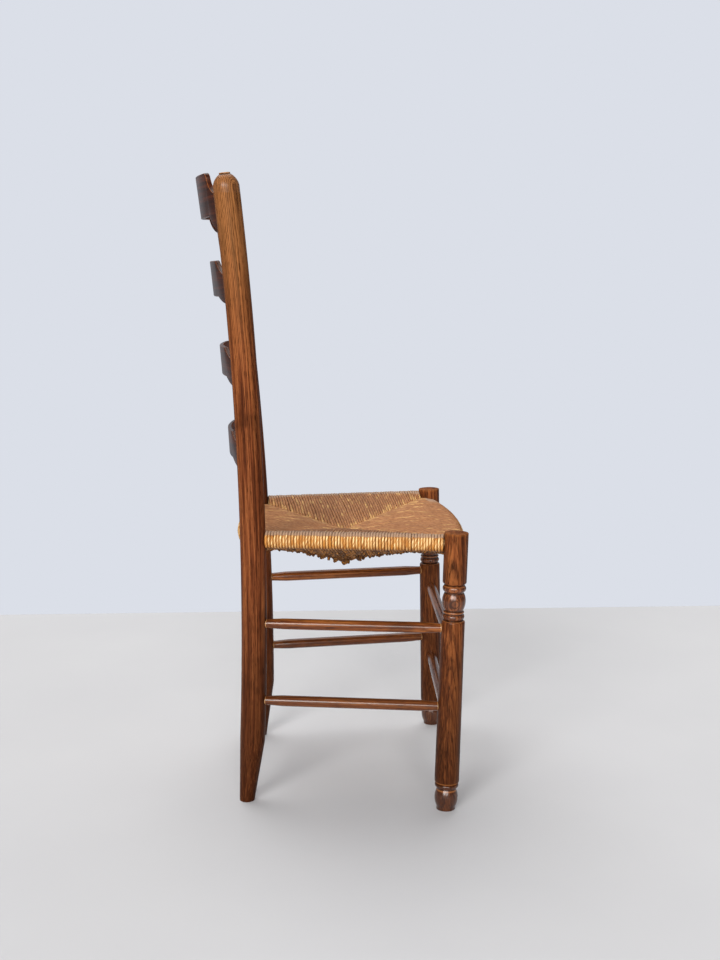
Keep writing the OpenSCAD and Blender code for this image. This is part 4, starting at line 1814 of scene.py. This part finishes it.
@dataclass
class Studio:
    """A plain pale floor, a pale backdrop, soft lamps and the camera."""

    eye: tuple[float, float, float] = (-2.2536, 0.0409, 0.8852)
    yaw: float = 0.0395
    pitch: float = 0.1650
    roll: float = 0.0023
    lens_mm: float = 49.99
    sensor_mm: float = 36.0
    nearest: float = 0.05
    floor_far: float = 1.04
    floor_half: tuple[float, float] = (2.0, 2.6)
    sheet_half: tuple[float, float] = (1.1, 0.8)
    lamp_tint: tuple[float, float, float] = (1.0, 0.99, 0.97)
    sky: Colour = (0.92, 0.94, 1.0, 1.0)
    sky_strength: float = 0.18
    lamps: tuple[tuple[str, float, float, float, float], ...] = (
        ("window_left", 26, 21, 26, 2.3),
        ("window_right", -2, 18, 26, 1.35),
        ("skylight", 165, 62, 60, 2.0),
    )

    def _add(self, name: str, data: bpy.types.ID, place: Matrix) -> Object:
        """Put an object in the scene.

        Args:
            name: Name of the object.
            data: Its camera, lamp or mesh.
            place: Where it goes.

        Returns:
            The object.
        """
        made = bpy.data.objects.new(name, data)
        made.matrix_world = place
        bpy.context.scene.collection.objects.link(made)
        return made

    def camera(self) -> None:
        """Place the camera."""
        ahead = Vector((math.cos(self.yaw), -math.sin(self.yaw), 0))
        right = Vector((-math.sin(self.yaw), -math.cos(self.yaw), 0))
        view = ahead * math.cos(self.pitch) - UP * math.sin(self.pitch)
        crown = ahead * math.sin(self.pitch) + UP * math.cos(self.pitch)
        level = right * math.cos(self.roll) - crown * math.sin(self.roll)
        crown = right * math.sin(self.roll) + crown * math.cos(self.roll)
        data = bpy.data.cameras.new("camera")
        data.lens = self.lens_mm
        data.sensor_width = self.sensor_mm
        data.clip_start = self.nearest
        place = Matrix((level, crown, -view)).transposed().to_4x4()
        place.translation = self.eye
        bpy.context.scene.camera = self._add("camera", data, place)

    def lamp(
        self, name: str, bearing: float, elevation: float, width: float, strength: float
    ) -> None:
        """Hang one soft lamp, far away.

        Args:
            name: Name of the lamp.
            bearing: Direction of the lamp, in degrees from the camera's side towards the back.
            elevation: Height of the lamp above the floor, in degrees.
            width: Breadth of the lamp, in degrees.
            strength: Light that falls on a surface that faces it.
        """
        data = bpy.data.lights.new(name, "SUN")
        data.energy = strength
        data.angle = math.radians(width)
        data.color = self.lamp_tint
        across, rise = math.radians(bearing), math.radians(elevation)
        level = math.cos(rise)
        away = Vector((-level * math.cos(across), level * math.sin(across), math.sin(rise)))
        self._add(name, data, facing(away * 4, away))

    def _board(self, name: str, half: tuple[float, float], place: Matrix, finish: Finish) -> None:
        """Set up one flat board of the stage.

        Args:
            name: Name of the board.
            half: Half its length and half its width.
            place: Where it goes.
            finish: Its finish.
        """
        bm = bmesh.new()
        size = Matrix.Diagonal((*half, 1, 1))
        bmesh.ops.create_grid(bm, x_segments=1, y_segments=1, size=1.0, matrix=place @ size)
        mesh = bpy.data.meshes.new(name)
        bm.to_mesh(mesh)
        bm.free()
        mesh.materials.append(finish.build())
        board = self._add(name, mesh, Matrix())

    def world(self) -> None:
        """Surround the scene with a pale backdrop that lights it only a little."""
        world = bpy.data.worlds.new("studio")
        bpy.context.scene.world = world
        world.use_nodes = True
        graph = Graph(world.node_tree)
        seen, ambient = (
            graph.node("Background", None, {"Color": colour, "Strength": strength})
            for colour, strength in ((paint(*BACKDROP), 1.0), (self.sky, self.sky_strength))
        )
        direct = graph.node("LightPath", output="Is Camera Ray")
        mixed = graph.node("MixShader", None, {0: direct, 1: ambient, 2: seen})
        graph.node("OutputWorld", None, {"Surface": mixed})

    def build(self) -> None:
        """Set up the studio; the sheet hangs behind the chair, where varnish mirrors it."""
        self.camera()
        floor_place = shift(self.floor_far - self.floor_half[0], 0, 0)
        self._board("floor", self.floor_half, floor_place, FloorPaper())
        upright = turn(-math.pi / 2, "Y")
        sheet_place = shift(self.floor_far, 0, self.sheet_half[0]) @ upright
        self._board("sheet", self.sheet_half, sheet_place, SheetGlow())
        self.world()
        for lamp in self.lamps:
            self.lamp(*lamp)
        bpy.context.scene.view_settings.view_transform = "Standard"


# ---------------------------------------------------------------- the chair


@dataclass
class Chair:
    """The whole chair, built piece by piece."""

    plan: ChairPlan = field(default_factory=ChairPlan)
    side_levels: tuple[float, float] = (302.5 * MM, 172.7 * MM)
    front_levels: tuple[float, float] = (276 * MM, 140 * MM)
    rear_level: float = 236 * MM

    def posts(self) -> None:
        """Build the four posts."""
        rear, front = REAR_POST_FINISH.build(), FRONT_POST_FINISH.build()
        boards = {
            Side.LEFT: ((-0.045, 0.034, 1.7), (-0.050, -0.028, 4.4)),
            Side.RIGHT: ((0.034, 0.040, 0.0), (0.041, 0.004, 3.1)),
        }
        for side, (rear_board, front_board) in boards.items():
            RearPost(self.plan, side).build(rear, rear_board)
            FrontPost(self.plan, side).build(front, front_board)

    def slats(self) -> None:
        """Build the four back slats, from the top down."""
        material = SLAT_FINISH.build()
        # The last number of each row sets the wear and painted highlight on the slat's arrises.
        rows = (
            ((980, 41, 96, 41, 6, 26, 50), 1.0),
            ((850, 36, 79, 34.5, 10, 23, 36), 0.4),
            ((718, 35, 79, 28, 8, 20.5, 36), 0.4),
            ((583, 33, 75, 25, 6, 20, 35), 0.4),
        )
        for number, (row, rubbing_and_sheen) in enumerate(rows, start=1):
            slat = BackSlat(self.plan, number, *(size * MM for size in row), rubbing_and_sheen)
            slat.build(material, (0.03, 0.05 * number, number))

    def stretchers(self) -> None:
        """Build the seven stretchers."""
        material = STRETCHER_FINISH.build()
        left, right = Side
        rear = self.plan.rear_axis, self.plan.rear_post_d / 2
        front = self.plan.front_axis, self.plan.front_post_d / 2
        words = ("upper", "lower")
        runs = [
            (f"{side.word}_{word}", rear, side, front, side, z)
            for side in Side
            for word, z in zip(words, self.side_levels)
        ]
        runs += [
            (f"front_{word}", front, right, front, left, z)
            for word, z in zip(words, self.front_levels)
        ]
        runs.append(("rear", rear, right, rear, left, self.rear_level))
        for number, (name, row, side, far_row, far_side, z) in enumerate(runs):
            (axis, radius), (far_axis, far_radius) = row, far_row
            start, end = axis(side, z), far_axis(far_side, z)
            rung = Stretcher(f"stretcher_{name}", start, end, radius, far_radius)
            rung.build(material, (0.02 + 0.006 * number, 0.01 * number, 0.7 * number))

    def rails(self) -> None:
        """Finish the four seat rails, which stay as they were made."""
        for finish, ends in (
            (SIDE_RAIL_FINISH, ("left", "right")),
            (CROSS_RAIL_FINISH, ("front", "rear")),
        ):
            material = finish.build()
            for end in ends:
                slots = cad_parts[f"seat_rail_{end}"].data.materials
                slots.clear()
                slots.append(material)

    def build(self) -> None:
        """Build every piece."""
        self.posts()
        self.slats()
        self.stretchers()
        self.rails()
        RushSeat(self.plan, RushFinish().build(), StuffingFinish().build()).build()


def main() -> None:
    """Build the studio and the chair."""
    logging.basicConfig(level=logging.INFO, format="%(name)s: %(message)s")
    Studio().build()
    Chair().build()


if __name__ == "__main__":
    main()
